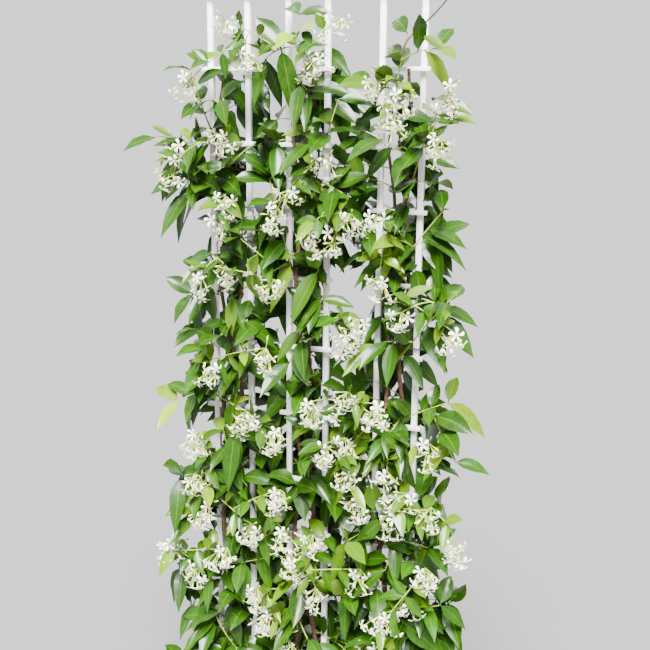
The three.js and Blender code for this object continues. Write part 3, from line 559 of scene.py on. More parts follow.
bloomSprays = {
    "left": [
        [[-135, 1675], [-100, 1620], [-210, 1575]],
        [[-155, 1475], [-235, 1455], [-255, 1405]],
        [[-145, 1360], [-160, 1320]],
        [[-145, 1230], [-195, 1205], [-45, 1210]],
        [[-170, 1035], [-65, 1075]],
        [[-105, 945], [-40, 915]],
        [[-190, 810], [-205, 890], [-190, 745]],
        [[-95, 710], [-35, 795], [-25, 715]],
        [[-230, 600], [-275, 650], [-145, 655]],
        [[-90, 570], [-65, 525], [-25, 475]],
    ],
    "middle": [
        [[35, 1610], [85, 1675]],
        [[-10, 1380], [50, 1440], [-35, 1345]],
        [[75, 1305], [30, 1305], [105, 1340]],
        [[90, 1120], [125, 1150]],
        [[105, 1010], [35, 985], [160, 990]],
        [[95, 915], [55, 895], [115, 860], [120, 800]],
        [[35, 710], [-5, 655], [45, 600], [130, 650]],
    ],
    "right": [
        [[190, 1550], [150, 1570], [185, 1515]],
        [[265, 1475], [280, 1565]],
        [[155, 1340], [160, 1230]],
        [[205, 1170], [305, 1140]],
        [[185, 865], [260, 930]],
        [[225, 825], [195, 780], [270, 805], [315, 745]],
        [[230, 600], [185, 575], [265, 685], [150, 495]],
    ],
}


# The corners of a plain solid, each once, in millimetres.
def solidCorners(name):
    mesh = frame["nodes"][name].data
    places = np.empty(len(mesh.vertices) * 3, np.float32)
    mesh.vertices.foreach_get("co", places)
    return np.unique(np.round(places.reshape(-1, 3).astype(float) * 1000, 3), axis=0)


def archWay(start, end, bulge, steps):
    middle = (start + end) / 2 + bulge
    t = np.linspace(0, 1, steps + 1)[:, None]
    return (1 - t) ** 2 * start + 2 * (1 - t) * t * middle + t ** 2 * end


# Of the arches that a stem may take, the one whose joints lie on the solid's corners.
def fittingArch(start, end, steps, outward, corners):
    best = None
    for sway in arch["sways"]:
        for swell in arch["swells"]:
            for lift in arch["lifts"]:
                bulge = np.array([sway, outward * swell, lift], float)
                joints = archWay(start, end, bulge, steps)
                away = sum(np.linalg.norm(corners - joint, axis=1).min() for joint in joints[1:])
                if best is None or away < best[0] - 1e-6:
                    best = (away, joints, bulge)
    return {"joints": best[1], "way": archWay(start, end, best[2], 10), "taken": [], "branch": False}


def growStems(start, ends, steps, outward, corners):
    stems = [fittingArch(start, ends[0], steps[0], outward, corners)]
    for end in ends[1:]:
        choices = []
        for stem in stems:
            for joint in range(1, len(stem["joints"]) - 1):
                if joint not in stem["taken"]:
                    choices.append((np.linalg.norm(stem["joints"][joint] - end), len(choices), stem, joint))
        parent, joint = min(choices, key=lambda choice: choice[:2])[2:]
        parent["taken"].append(joint)
        grown = fittingArch(parent["joints"][joint], end, steps[1], outward, corners)
        grown["branch"] = True
        stems.append(grown)
    return stems


def shootStems(side, entry, corners):
    which, rung, places = entry
    outward = -1 if rung % 2 == which else 1
    draw = drawsFrom(rung * 31 + abs(places[0][0]) + 1000)
    ends = []
    for x, z in places:
        depth = (shoot["front"] if outward < 0 else shoot["back"]) + (draw() - 0.5) * 2 * shoot["spread"]
        ends.append(np.array([x, depth, z], float))
    return growStems(vineRoute(side, which, rung)[-1], ends, shoot["steps"], outward, corners), outward


# A spray leaves a leafy shoot at the place nearest to the cut end of its solid.
def sprayStems(heads, corners, hosts):
    draw = drawsFrom(abs(heads[0][0]) * 3 + heads[0][1] + 5000)
    hubs = [np.array([x, stalk["front"] + (draw() - 0.5) * 2 * stalk["spread"], z], float) for x, z in heads]
    places = []
    for plant in hosts:
        for stem in plant["stems"] if plant["outward"] < 0 else []:
            joints = stem["joints"]
            for i in range(1 if stem["branch"] else 0, len(joints) - 2):
                at = (joints[i] + joints[i + 1]) / 2
                if np.linalg.norm(at - hubs[0]) > stalk["shortest"]:
                    places.append((np.linalg.norm(at - hubs[0]), len(places), at))
    near = [at for _, _, at in sorted(places, key=lambda place: place[:2])[:stalk["places"]]]
    start = min(near, key=lambda at: np.linalg.norm(corners - at, axis=1).min())
    return growStems(start, hubs, stalk["steps"], -1, corners), hubs


# Leaves: one is modelled flat, then each copy is bent to its own place.
leaf = {"length": 76, "width": 27, "thick": 0.8, "fold": 0.28, "rise": 0.5, "sag": 0.34, "blade": 0.5, "pitch": 27,
        "light": [0, -0.62, 0.78], "bead": 6.0, "turns": 11}
leafWidths = [[0.0, 0.07], [0.075, 0.09], [0.13, 0.46], [0.26, 0.9], [0.43, 1.03], [0.61, 0.92], [0.78, 0.6],
              [0.92, 0.2], [1.0, 0.015]]


def modelLeaf():
    rows = len(leafWidths)
    nothingSelected()
    bpy.ops.mesh.primitive_grid_add(x_subdivisions=4, y_subdivisions=rows - 1, size=2)
    made = bpy.context.object
    for corner in made.data.vertices:
        row = round((corner.co.y + 1) / 2 * (rows - 1))
        corner.co = (corner.co.x, leafWidths[row][0], 0)
    thicken = made.modifiers.new("blade", "SOLIDIFY")
    thicken.thickness = 0.1
    thicken.offset = 0
    thicken.use_even_offset = False
    applyAll(made)
    points, faces = takeShape(made)
    across, along = points[:, 0] / 1000, np.clip(points[:, 1] / 1000, 0, 1)
    widths = np.interp(along, [row[0] for row in leafWidths], [row[1] for row in leafWidths])
    blade = np.column_stack([across.clip(-1, 1) * 0.5 + 0.5, along])
    return {"across": across.clip(-1, 1), "along": along, "width": widths, "upper": points[:, 2] > 0, "faces": faces,
            "blade": blade}


leafShape = modelLeaf()


# Bends the modelled leaf: it sags along its length, folds up beside the midrib, waves at its edge and twists.
def bendLeaf(spot):
    shape = leafShape
    t, across = shape["along"][:, None], shape["across"][:, None]
    half = spot["half"] * shape["width"][:, None]
    midrib = spot["base"] + spot["run"] * t - up * spot["sag"] * spot["length"] * t ** 2
    twist = spot["twist"] * (t - 0.35)
    left = spot["left"] * np.cos(twist) + spot["face"] * np.sin(twist)
    face = spot["face"] * np.cos(twist) - spot["left"] * np.sin(twist)
    wave = np.sin(t * 15 + spot["wave"]) * across ** 2 * 1.1 * np.sign(across)
    lift = half * spot["fold"] * np.abs(across) ** 1.3 + wave * shape["width"][:, None]
    petiole = np.interp(shape["along"], [0, 0.075, 0.13], [1.1, 1.0, 0])[:, None]
    layer = np.where(shape["upper"], 1.0, 0.0)[:, None] * leaf["blade"] + petiole * (shape["upper"][:, None] - 0.5)
    return midrib + left * across * half + face * (lift + layer)


def addLeaf(growth, spot, look):
    tone = np.column_stack([np.full(len(leafShape["along"]), spot["age"]), np.full(len(leafShape["along"]), spot["tint"]),
                            np.where(leafShape["upper"], 0.0, 1.0)])
    addGrowth(growth, bendLeaf(spot), leafShape["faces"], look, leafShape["blade"], tone)


# The room that leaves and flowers already take, as beads.
taken = {"at": np.zeros((40000, 3)), "room": np.zeros(40000), "count": 0}


def roomFor(beads, ease=0.0):
    count = taken["count"]
    if not count:
        return True
    for at, room in beads:
        gap = np.linalg.norm(taken["at"][:count] - at, axis=1) - taken["room"][:count] - room + ease
        if gap.min() < 0:
            return False
    return True


def takeRoom(beads):
    for at, room in beads:
        taken["at"][taken["count"]] = at
        taken["room"][taken["count"]] = room
        taken["count"] += 1


def leafBeads(spot):
    beads = []
    for t, room in ((0.3, 1.0), (0.52, 1.0), (0.74, 0.9), (0.95, 0.6)):
        at = spot["base"] + spot["run"] * t - up * spot["sag"] * spot["length"] * t ** 2
        beads.append((at, leaf["bead"] * room * spot["half"] / 13.5))
    return beads


# Whether a leaf keeps off the bars, out of the clearings and inside the plant's own reach.
reach = {"low": [-330, -146, 300], "high": [362, 138, 1760], "bar": 9.5, "rung": 8.5, "sight": 11, "rungSight": 5,
         "head": 22, "eye": [669, -1771, 1558]}
clearings = [(106, 1661, 50), (80, 1174, 36), (-103, 1365, 26), (-190, 1705, 34)]


# Where in the ladders' plane a place is seen, from the side that the plant is looked at.
def seenAt(at):
    scale = reach["eye"][1] / (reach["eye"][1] - at[1])
    return reach["eye"][0] + (at[0] - reach["eye"][0]) * scale, reach["eye"][2] + (at[2] - reach["eye"][2]) * scale


rungsSeen = [seenAt((0, -(ladder["upright"] + ladder["rungDepth"]) / 2, z))[1] for z in rungs]


# How often a thing is left out so that the ladder shows: mostly before an upright, and less before a rung.
def hidesBar(at, width):
    if at[1] > 5:
        return 0
    x, z = seenAt(at)
    away = [x - centre for centre in ladder["centres"].values()]
    if any(abs(abs(side) - ladder["spacing"] / 2) < reach["sight"] + width for side in away):
        return 0.96 if z > 800 else 0.9
    crossed = min(abs(z - level) for level in rungsSeen) < reach["rungSight"] + width
    return 0.7 if crossed and any(abs(side) < ladder["spacing"] for side in away) else 0


# Leaves seldom hang in front of a flower head.
headsSeen = []


def hidesHead(at):
    x, z = seenAt(at)
    return any(at[1] < depth + 12 and np.hypot(x - seenX, z - seenZ) < reach["head"] for seenX, seenZ, depth in headsSeen)


def clearOfBars(at, room):
    if np.any(at < reach["low"]) or np.any(at > reach["high"]):
        return False
    if at[2] < soil["top"] + 34 or (at[2] < trough["height"] + 14 and abs(at[1]) > 95):
        return False
    for centre in ladder["centres"].values():
        for step in (-0.5, 0.5):
            if abs(at[0] - centre - step * ladder["spacing"]) < reach["bar"] and abs(at[1]) < reach["bar"]:
                return False
        if abs(at[0] - centre) < 58 and abs(at[1] + 11.5) < 9 and min(abs(at[2] - z) for z in rungs) < reach["rung"]:
            return False
    seen = seenAt(at)
    return all(np.hypot(seen[0] - x, seen[1] - z) > size for x, z, size in clearings)


def leafSpot(base, run, length, light, draw, age):
    spot = {"base": base, "length": length, "half": length * leaf["width"] / leaf["length"] / 2 * draw(1.0, 1.3),
            "sag": leaf["sag"] * draw(0.3, 1.4), "run": run * length, "fold": draw(0.12, 0.34), "twist": draw(-0.5, 0.5),
            "wave": draw(0, 6), "age": age, "tint": draw()}
    chord = unit(run - up * spot["sag"])
    spot["face"] = unit(light - chord * light.dot(chord))
    spot["left"] = np.cross(spot["face"], chord)
    return spot


# Tries a few turns about the stem until a leaf finds room.
def tryLeaf(growth, base, along, side, length, draw, age, ease, look):
    light = unit(np.array(leaf["light"]) + [draw(-0.5, 0.5), draw(-0.4, 0.4), draw(-0.3, 0.3)])
    across = np.cross(along, side)
    for attempt in range(leaf["turns"]):
        turn = (attempt + 1) // 2 * 0.32 * (1 if attempt % 2 else -1) + draw(-0.15, 0.15)
        spoke = side * math.cos(turn) + across * math.sin(turn)
        spot = leafSpot(base, unit(spoke + along * draw(0.0, 0.5) + up * draw(-0.4, 0.35)), length, light, draw, age)
        beads = leafBeads(spot)
        if draw() < max(hidesBar(at, room) for at, room in beads) or (
                any(hidesHead(at) for at, room in beads[1:]) and draw() < 0.9):
            continue
        if all(clearOfBars(at, room) for at, room in beads) and roomFor(beads[1:], ease):
            addLeaf(growth, spot, look)
            takeRoom(beads)
            return True
    return False


# Pairs of leaves along a stem, each pair turned a quarter from the last: two close pairs at its tip, then on down it.
def clothe(growth, way, draw, first, pitch, size, ages, skip=(), ease=0.0, look=0):
    steps = np.linalg.norm(np.diff(way, axis=0), axis=1)
    reachAlong = np.concatenate([[0], np.cumsum(steps)])
    total, grown = reachAlong[-1], 0
    at, quarter = total - 1, draw(0, 1) > 0.5
    while at > first:
        base = np.array([np.interp(at, reachAlong, way[:, axis]) for axis in range(3)])
        ahead = np.array([np.interp(min(at + 3, total), reachAlong, way[:, axis]) for axis in range(3)])
        behind = np.array([np.interp(max(at - 3, 0), reachAlong, way[:, axis]) for axis in range(3)])
        along = unit(ahead - behind)
        side = unit(np.cross(along, [0.2, 1.0, 0.35]))
        side = unit(np.cross(along, side)) if quarter else side
        quarter = not quarter
        share = at / total
        length = size * draw(0.8, 1.2)
        age = ages[0] + (ages[1] - ages[0]) * share + draw(-0.12, 0.12)
        if all(np.linalg.norm(base - other) > pitch * 0.42 for other in skip):
            for sign in (1, -1):
                grown += tryLeaf(growth, base, along, side * sign, length, draw, min(max(age, 0), 1), ease, look)
        at -= 7 if at > total - 5 else pitch * draw(0.85, 1.15)
    return grown


# Each blade of a solid has six pairs of corners, one thickness apart, from which its frame follows.
def solidBlades(corners, draw):
    apart = np.linalg.norm(corners[:, None] - corners[None], axis=2)
    groups = []
    for i, j in np.argwhere(np.triu(np.abs(apart - leaf["thick"]) < 0.02, 1)):
        line = unit(corners[j] - corners[i])
        for group in groups:
            if np.linalg.norm(corners[i] - group["at"]) < 95 and abs(line.dot(group["line"])) > 0.99995:
                group["pairs"].append((i, j))
                break
        else:
            groups.append({"line": line, "at": corners[i], "pairs": [(i, j)]})
    blades = []
    for group in groups:
        if len(group["pairs"]) == 6:
            spot = min((bladeSpot(corners, group, sign) for sign in (1, -1)), key=lambda found: found["off"])
            spot.update({"fold": draw(0.16, 0.32), "twist": draw(-0.35, 0.35), "wave": draw(0, 6), "tint": draw()})
            blades.append(spot)
    return blades


def bladeSpot(corners, group, sign):
    face = group["line"] * sign
    lower = np.array([min((corners[i], corners[j]), key=lambda point: point.dot(face)) for i, j in group["pairs"]])
    centre = lower.mean(axis=0)
    tip = lower[np.linalg.norm(lower - centre, axis=1).argmax()]
    order = lower[np.argsort((lower - centre) @ unit(tip - centre))]
    half = np.linalg.norm(order[0] - order[1]) / 2
    length = half / (leaf["width"] / 2) * leaf["length"]
    drop = up * leaf["sag"] * length
    base = 2 * order[2] - tip - drop / 2
    run = tip - base + drop
    raised = (order[0] + order[1]) / 2 - (base + run * 0.3 - drop * 0.09)
    return {"base": base, "run": run, "length": length, "half": half, "face": face, "sag": leaf["sag"],
            "left": unit(np.cross(face, run - drop)), "off": np.linalg.norm(raised - face * half * leaf["fold"])}


# A grown leaf: leathery, with a waxy shine above, paler and duller below, and a light midrib.
def waxyLeaf():
    material, tree, shader, place = startMaterial("waxyLeaf", {
        "IOR": 1.4, "Specular IOR Level": 0.24, "Subsurface Weight": 0.1, "Subsurface Scale": 0.002,
        "Subsurface Radius": (0.5, 1.0, 0.15), "Coat Weight": 0.16, "Coat Roughness": 0.12})
    tones = addNode(tree, "ShaderNodeAttribute", {"attribute_name": "tone"}, "Color")
    age, tint, under = addNode(tree, "ShaderNodeSeparateColor", {"Color": tones}, None)[:3]
    onBlade = addNode(tree, "ShaderNodeUVMap", {"uv_map": "blade"})
    across, along = addNode(tree, "ShaderNodeSeparateXYZ", {"Vector": onBlade}, None)[:2]
    across = addNode(tree, "ShaderNodeMath", {"operation": "MULTIPLY_ADD", 0: across, 1: 2.0, 2: -1.0})
    side = addNode(tree, "ShaderNodeMath", {"operation": "ABSOLUTE", 0: across})
    mottle = addNode(tree, "ShaderNodeTexNoise", {"Vector": place, "Scale": 70, "Detail": 4})
    grain = addNode(tree, "ShaderNodeTexNoise", {"Vector": place, "Scale": 600, "Detail": 2})
    # Older leaves are painted darker. Leaves behind the ladders are given older ages, so this darkening is partly real
    # age and partly painted shade for the foliage further back.
    dark = addNode(tree, "ShaderNodeMapRange", {"Value": age, "From Min": 0.4, "From Max": 1.0})
    young = addNode(tree, "ShaderNodeMapRange", {"Value": age, "From Min": 0.42, "From Max": 0.0})
    patches = addNode(tree, "ShaderNodeMapRange", {"Value": mottle, "From Min": 0.4, "From Max": 0.75, "To Max": 0.4})
    shade = addNode(tree, "ShaderNodeMapRange", {"Value": tint, "From Min": 0.3, "To Max": 0.8})
    # About nine pairs of side veins leave the midrib forwards and curve along the blade.
    bent = addNode(tree, "ShaderNodeMath", {"operation": "POWER", 0: side, 1: 1.3})
    bent = addNode(tree, "ShaderNodeMath", {"operation": "MULTIPLY_ADD", 0: bent, 1: -0.16, 2: along})
    bent = addNode(tree, "ShaderNodeMath", {"operation": "MULTIPLY", 0: bent, 1: 60.0})
    bent = addNode(tree, "ShaderNodeMath", {"operation": "SINE", 0: bent})
    veins = addNode(tree, "ShaderNodeMapRange", {"Value": bent, "From Min": 0.8, "From Max": 1.0, "To Max": 0.12})
    rib = addNode(tree, "ShaderNodeMapRange", {"Value": side, "From Min": 0.07, "From Max": 0.02, "To Max": 0.24})
    pale = addNode(tree, "ShaderNodeMath", {"operation": "MULTIPLY", 0: under, 1: 0.7})
    colour = glaze(tree, paint("#1f4403"), [(dark, "#112406"), (young, "#7f9b06"), (patches, "#355a05"),
                                            (shade, "#173403"), (pale, "#546d20"), (veins, "#4d6b13"), (rib, "#73902c")])
    gloss = addNode(tree, "ShaderNodeMapRange", {"Value": mottle, "To Min": 0.22, "To Max": 0.38})
    rough = addNode(tree, "ShaderNodeMath", {"operation": "MULTIPLY_ADD", 0: under, 1: 0.25, 2: gloss})
    fine = addNode(tree, "ShaderNodeMath", {"operation": "MULTIPLY", 0: grain, 1: 0.3})
    sunk = addNode(tree, "ShaderNodeMath", {"operation": "MULTIPLY_ADD", 0: veins, 1: -2.0, 2: fine})
    relief = addNode(tree, "ShaderNodeMath", {"operation": "MULTIPLY_ADD", 0: rib, 1: -1.2, 2: sunk})
    finishMaterial(tree, shader, colour, rough, relief, 0.3, 0.5)
    return material


# Young stem: yellow-green and smooth, going brown and corky where it is older.
def youngStem():
    material, tree, shader, place = startMaterial("youngStem", {"Subsurface Weight": 0.1, "Subsurface Scale": 0.002})
    tones = addNode(tree, "ShaderNodeAttribute", {"attribute_name": "tone"}, "Color")
    age = addNode(tree, "ShaderNodeSeparateColor", {"Color": tones}, 0)
    streaks = addNode(tree, "ShaderNodeTexNoise", {"Vector": place, "Scale": 350, "Detail": 4, "Distortion": 0.6})
    woody = addNode(tree, "ShaderNodeMath", {"operation": "MULTIPLY_ADD", 0: streaks, 1: 0.4, 2: age})
    woody = addNode(tree, "ShaderNodeMapRange", {"Value": woody, "From Min": 0.55, "From Max": 1.0})
    green = addNode(tree, "ShaderNodeMapRange", {"Value": streaks, "From Min": 0.35, "From Max": 0.65})
    colour = glaze(tree, paint("#5a7b1d"), [(green, "#93a638"), (woody, "#4d3628")])
    rough = addNode(tree, "ShaderNodeMapRange", {"Value": streaks, "To Min": 0.4, "To Max": 0.65})
    finishMaterial(tree, shader, colour, rough, streaks, 0.25)
    return material


# Flowers: a five-petalled pinwheel on a slim tube, hung from its head by a short stalk.
flower = {"reach": 23, "radius": 12.5, "look": [0, -0.45, -0.89], "heads": [7, 11], "buds": [4, 7], "spread": 0.72,
          "room": 6.0, "thick": 0.6, "stalk": 0.85, "clear": 0.8}
petalRows = [[1.2, 0.0, 0.85, 0.0], [4.6, -0.3, 1.5, 0.5], [8.8, -0.3, 2.7, 1.0], [12.0, 0.6, 3.0, 0.4],
             [13.8, 1.8, 1.7, -0.9]]


# A petal lies along x; each row gives reach, sideways lean, half width and height of its middle.
def modelFlower():
    points, faces, blade = [], [], []
    for k in range(5):
        turn = k / 5 * math.tau
        start = len(points)
        for i, (out, lean, half, high) in enumerate(petalRows):
            for across in (-1, 0, 1):
                pull = -0.9 if across > 0 and i == 4 else 0
                tilt = across * 0.34 * (0.6 + 0.15 * i)
                for layer in ((0,) if across else (0.5, -0.5)):
                    x, y = out + pull, lean + across * half
                    z = high + tilt * half * 0.35 + layer * flower["thick"]
                    points.append((x * math.cos(turn) - y * math.sin(turn), x * math.sin(turn) + y * math.cos(turn), z))
                    blade.append((across * 0.5 + 0.5, out / 14.0))
        for i in range(4):
            a, b = start + i * 4, start + (i + 1) * 4
            faces += [(a, b, b + 1, a + 1), (a + 1, b + 1, b + 3, a + 3)]
            faces += [(b, a, a + 2, b + 2), (b + 2, a + 2, a + 3, b + 3)]
        last = start + 16
        faces += [(last, last + 2, last + 1), (last + 1, last + 2, last + 3)]
        faces += [(start, start + 1, start + 2), (start + 1, start + 3, start + 2)]
    return {"points": np.array(points), "faces": faces, "blade": np.array(blade)}


flowerShape = modelFlower()


def flowerAxes(facing, spoke):
    spoke = unit(spoke - facing * spoke.dot(facing))
    return np.array([spoke, np.cross(facing, spoke), facing])


# One open flower: stalk from the hub, green calyx, slim tube with its swelling, and the pinwheel.
def addFlower(growth, hub, at, facing, spoke, draw):
    size = draw(0.86, 1.04)
    axes = flowerAxes(facing, spoke)
    out = np.linalg.norm(flowerShape["points"][:, :2], axis=1)[:, None]
    shaped = flowerShape["points"] * [size, size, 1] + np.array([0, 0, draw(-0.028, 0.03)]) * out ** 2
    addGrowth(growth, shaped @ axes + at - facing * 0.6, flowerShape["faces"], 0, flowerShape["blade"],
              (0.5, draw(), 0))
    neck = at - facing * 10.5
    middle = (hub + neck) / 2 + up * draw(0.5, 2.5)
    addStem(growth, smoothWay([hub, middle, neck], 2), [0.9, flower["stalk"], 0.8, 0.8, 1.0], 4, 2, (0.05, 0.0))
    tube = [neck - facing * 1.2, neck + facing * 1.6, neck + facing * 5.6, neck + facing * 9.0, neck + facing * 10.9]
    addStem(growth, tube, [1.1, 1.4, 1.1, 1.6, 2.1], 5, 1)


# A bud: a slim twisted spindle, green below and cream at its point.
def addBud(growth, hub, aim, length, draw):
    neck = hub + aim * length * 0.45
    addStem(growth, smoothWay([hub, (hub + neck) / 2 + up * 0.8, neck], 2), [0.85, 0.8, 0.8, 0.8, 1.0], 4, 2, (0.05, 0))
    points = [neck + aim * length * step for step in (0, 0.16, 0.3, 0.42, 0.55)]
    addStem(growth, points, [1.1, 1.0, 1.6, 1.35, 0.3], 5, 1)


# Each flower of a solid shows as five petal tips on a regular pentagon.
def solidFlowers(corners, hubs):
    radius = flower["radius"]
    apart = np.linalg.norm(corners[:, None] - corners[None], axis=2)
    near = np.abs(apart - 2 * radius * math.sin(math.pi / 5)) < 0.02
    far = np.abs(apart - 2 * radius * math.sin(math.tau / 5)) < 0.02
    found, used = [], set()
    for i in range(len(corners)):
        if i in used or near[i].sum() < 2 or far[i].sum() < 2:
            continue
        for j in np.flatnonzero(near[i]):
            ring = [i, j]
            while len(ring) < 5:
                ahead = [k for k in np.flatnonzero(near[ring[-1]]) if k not in ring and far[ring[-2], k]]
                if not ahead:
                    break
                ring.append(ahead[0])
            if len(ring) == 5 and near[ring[0], ring[-1]]:
                used.update(ring)
                at = corners[ring].mean(axis=0)
                facing = unit(np.cross(corners[ring[0]] - at, corners[ring[1]] - at))
                facing = facing if min(np.linalg.norm(at - facing * flower["reach"] - hub) for hub in hubs) < min(
                    np.linalg.norm(at + facing * flower["reach"] - hub) for hub in hubs) else -facing
                found.append({"at": at, "facing": facing, "hub": at - facing * flower["reach"],
                              "spoke": unit(corners[ring[0]] - at)})
                break
    return found


# A head forks once or twice below its hub; its flowers hang from the forks, with buds among them.
def fillHead(growth, hub, wanted, buds, draw):
    look = unit(np.array(flower["look"], float))
    forks = [hub]
    for _ in range(2 if wanted > 4 else 1):
        fork = hub + unit(np.array([draw(-1, 1), draw(-0.7, 0.1), draw(-1.1, -0.1)])) * draw(12, 22)
        if clearOfBars(fork, 3):
            addStem(growth, smoothWay([hub, (hub + fork) / 2 + up * 1.5, fork], 2), [1.0, 0.95, 0.9, 0.9, 1.0], 4, 2,
                    (0.1, 0.0))
            forks.append(fork)
    grown = 0
    for attempt in range(90):
        if grown >= wanted:
            break
        fork = forks[attempt % len(forks)]
        aim = unit(look + np.array([draw(-1, 1), draw(-0.6, 0.8), draw(-0.5, 0.9)]) * flower["spread"])
        at = fork + aim * flower["reach"] * draw(0.9, 1.5) + up * draw(-9, 0)
        facing = unit(at - fork + look * draw(-3, 10) + np.array([draw(-1, 1), draw(-1, 0.4), draw(-1, 1)]) * 9)
        beads = [(at, flower["room"])]
        if clearOfBars(at, 8) and roomFor(beads) and draw() > flower["clear"] * hidesBar(at, 5):
            takeRoom(beads)
            addFlower(growth, fork, at, facing, np.array([draw(-1, 1), draw(-1, 1), draw(-1, 1)]), draw)
            grown += 1
    for i in range(buds):
        aim = unit(look * draw(0.0, 1.2) + np.array([draw(-1, 1), draw(-0.9, 0.2), draw(-0.4, 0.8)]))
        addBud(growth, forks[i % len(forks)], aim, draw(22, 34), draw)
    return grown


# A petal: white and softly velvety, a little see-through, yellow-green in the throat.
def velvetPetal():
    material, tree, shader, place = startMaterial("velvetPetal", {
        "Subsurface Weight": 0.15, "Subsurface Scale": 0.002, "Sheen Weight": 0.1})
    onBlade = addNode(tree, "ShaderNodeUVMap", {"uv_map": "blade"})
    across, along = addNode(tree, "ShaderNodeSeparateXYZ", {"Vector": onBlade}, None)[:2]
    tones = addNode(tree, "ShaderNodeAttribute", {"attribute_name": "tone"}, "Color")
    tint = addNode(tree, "ShaderNodeSeparateColor", {"Color": tones}, 1)
    fine = addNode(tree, "ShaderNodeTexNoise", {"Vector": place, "Scale": 1100, "Detail": 3})
    throat = addNode(tree, "ShaderNodeMapRange", {"Value": along, "From Min": 0.44, "From Max": 0.14, "To Max": 0.9})
    cream = addNode(tree, "ShaderNodeMapRange", {"Value": tint, "From Min": 0.4, "To Max": 0.5})
    soft = addNode(tree, "ShaderNodeMapRange", {"Value": fine, "From Min": 0.4, "From Max": 0.8, "To Max": 0.25})
    colour = glaze(tree, paint("#fffff6"), [(soft, "#f2f0d8"), (cream, "#f7f0c4"), (throat, "#d3d96c")])
    rough = addNode(tree, "ShaderNodeMapRange", {"Value": fine, "To Min": 0.5, "To Max": 0.7})
    finishMaterial(tree, shader, colour, rough, fine, 0.15, 0.5)
    return material


# Tube and bud: smooth and yellow-green, paling to cream where the petals open.
def paleTube():
    material, tree, shader, place = startMaterial("paleTube", {"Subsurface Weight": 0.2, "Subsurface Scale": 0.002})
    onBlade = addNode(tree, "ShaderNodeUVMap", {"uv_map": "blade"})
    along = addNode(tree, "ShaderNodeSeparateXYZ", {"Vector": onBlade}, 1)
    streaks = addNode(tree, "ShaderNodeTexNoise", {"Vector": place, "Scale": 700, "Detail": 2})
    mid = addNode(tree, "ShaderNodeMapRange", {"Value": along, "From Min": 0.1, "From Max": 0.45})
    end = addNode(tree, "ShaderNodeMapRange", {"Value": along, "From Min": 0.55, "From Max": 1.0})
    fleck = addNode(tree, "ShaderNodeMapRange", {"Value": streaks, "From Min": 0.45, "From Max": 0.7, "To Max": 0.3})
    colour = glaze(tree, paint("#7d9c2c"), [(mid, "#c3cd58"), (end, "#ecebaf"), (fleck, "#9db143")])
    rough = addNode(tree, "ShaderNodeMapRange", {"Value": streaks, "To Min": 0.4, "To Max": 0.6})
    finishMaterial(tree, shader, colour, rough, streaks, 0.1, 0.5)
    return material


modelTrough()
print("trough modelled")
modelCompost()
print("compost laid")
plastic = whitePlastic()
for side in ladder["centres"]:
    modelLadder(side, plastic)
print("ladders moulded")
bark = vineBark()
for side in ladder["centres"]:
    for which in (0, 1):
        modelVine(side, which, bark)
print("vines grown")

leafLook, stemLook, petalLook, tubeLook = waxyLeaf(), youngStem(), velvetPetal(), paleTube()
shoots, sprays = [], []
for side in ladder["centres"]:
    for i, entry in enumerate(leafyShoots[side]):
        name = f"shoot-{side}-{i + 1}"
        corners = solidCorners(name)
        stems, outward = shootStems(side, entry, corners)
        draw = drawsFrom(900 + i * 17 + abs(ladder["centres"][side]))
        shoots.append({"name": name, "side": side, "stems": stems, "outward": outward, "draw": draw,
                       "blades": solidBlades(corners, draw), "growth": newGrowth()})
for side in ladder["centres"]:
    for i, heads in enumerate(bloomSprays[side]):
        name = f"blooms-{side}-{i + 1}"
        corners = solidCorners(name)
        stems, hubs = sprayStems(heads, corners, shoots)
        sprays.append({"name": name, "stems": stems, "hubs": hubs, "flowers": solidFlowers(corners, hubs),
                       "draw": drawsFrom(1700 + i * 13 + abs(ladder["centres"][side])), "growth": newGrowth()})

# The solids' own leaves and flowers come first, so that the rest grows round them.
for plant in shoots:
    draw = plant["draw"]
    for spot in plant["blades"]:
        # Leaves of the solids behind the ladders are given older ages and so a darker colour: painted shade for the
        # back of the plant, on top of real age.
        spot["age"] = draw(0.25, 0.75) if spot["base"][1] > -75 else draw(0.0, 0.6)
        addLeaf(plant["growth"], spot, 0)
        takeRoom(leafBeads(spot))
for spray in sprays:
    for bloom in spray["flowers"]:
        takeRoom([(bloom["at"], flower["room"])])
for spray in sprays:
    draw = spray["draw"]
    for stem in spray["stems"]:
        addStem(spray["growth"], stem["way"], np.linspace(stalk["radius"], stalk["tipRadius"], len(stem["way"])),
                stalk["sides"], 2, (0.3, 0.05))
    for bloom in spray["flowers"]:
        addFlower(spray["growth"], bloom["hub"], bloom["at"], bloom["facing"], bloom["spoke"], draw)
    for hub in spray["hubs"]:
        own = sum(1 for bloom in spray["flowers"] if np.linalg.norm(bloom["hub"] - hub) < 12)
        massed = 1.5 if hub[0] < 0 and 480 < hub[2] < 1000 else 0.7 if hub[2] > 1150 else 0.9
        wanted = round(draw(*flower["heads"]) * massed) - own
        fillHead(spray["growth"], hub, wanted, round(draw(*flower["buds"])), draw)
        middle = hub + unit(np.array(flower["look"])) * flower["reach"]
        headsSeen.append((*seenAt(middle), middle[1]))
print("flowers open")

leaves = 0
for plant in shoots:
    draw = plant["draw"]
    used = [spot["base"] for spot in plant["blades"]]
    for stem in plant["stems"]:
        way = stem["way"]
        addStem(plant["growth"], way, np.linspace(shoot["radius"], shoot["tipRadius"], len(way)), shoot["sides"], 1,
                (0.9 if not stem["branch"] else 0.6, 0.0))
        tip = draw(0.0, 0.3) if draw() < 0.25 else draw(0.35, 0.7)
        leaves += clothe(plant["growth"], way, draw, 14, leaf["pitch"], 76, (0.9, tip), used, 3.0)
for spray in sprays:
    for stem in spray["stems"]:
        leaves += clothe(spray["growth"], stem["way"][:-3], spray["draw"], 12, 30, 46, (0.6, 0.3), (), 3.0, 3)
print("leaves on the shoots", leaves)

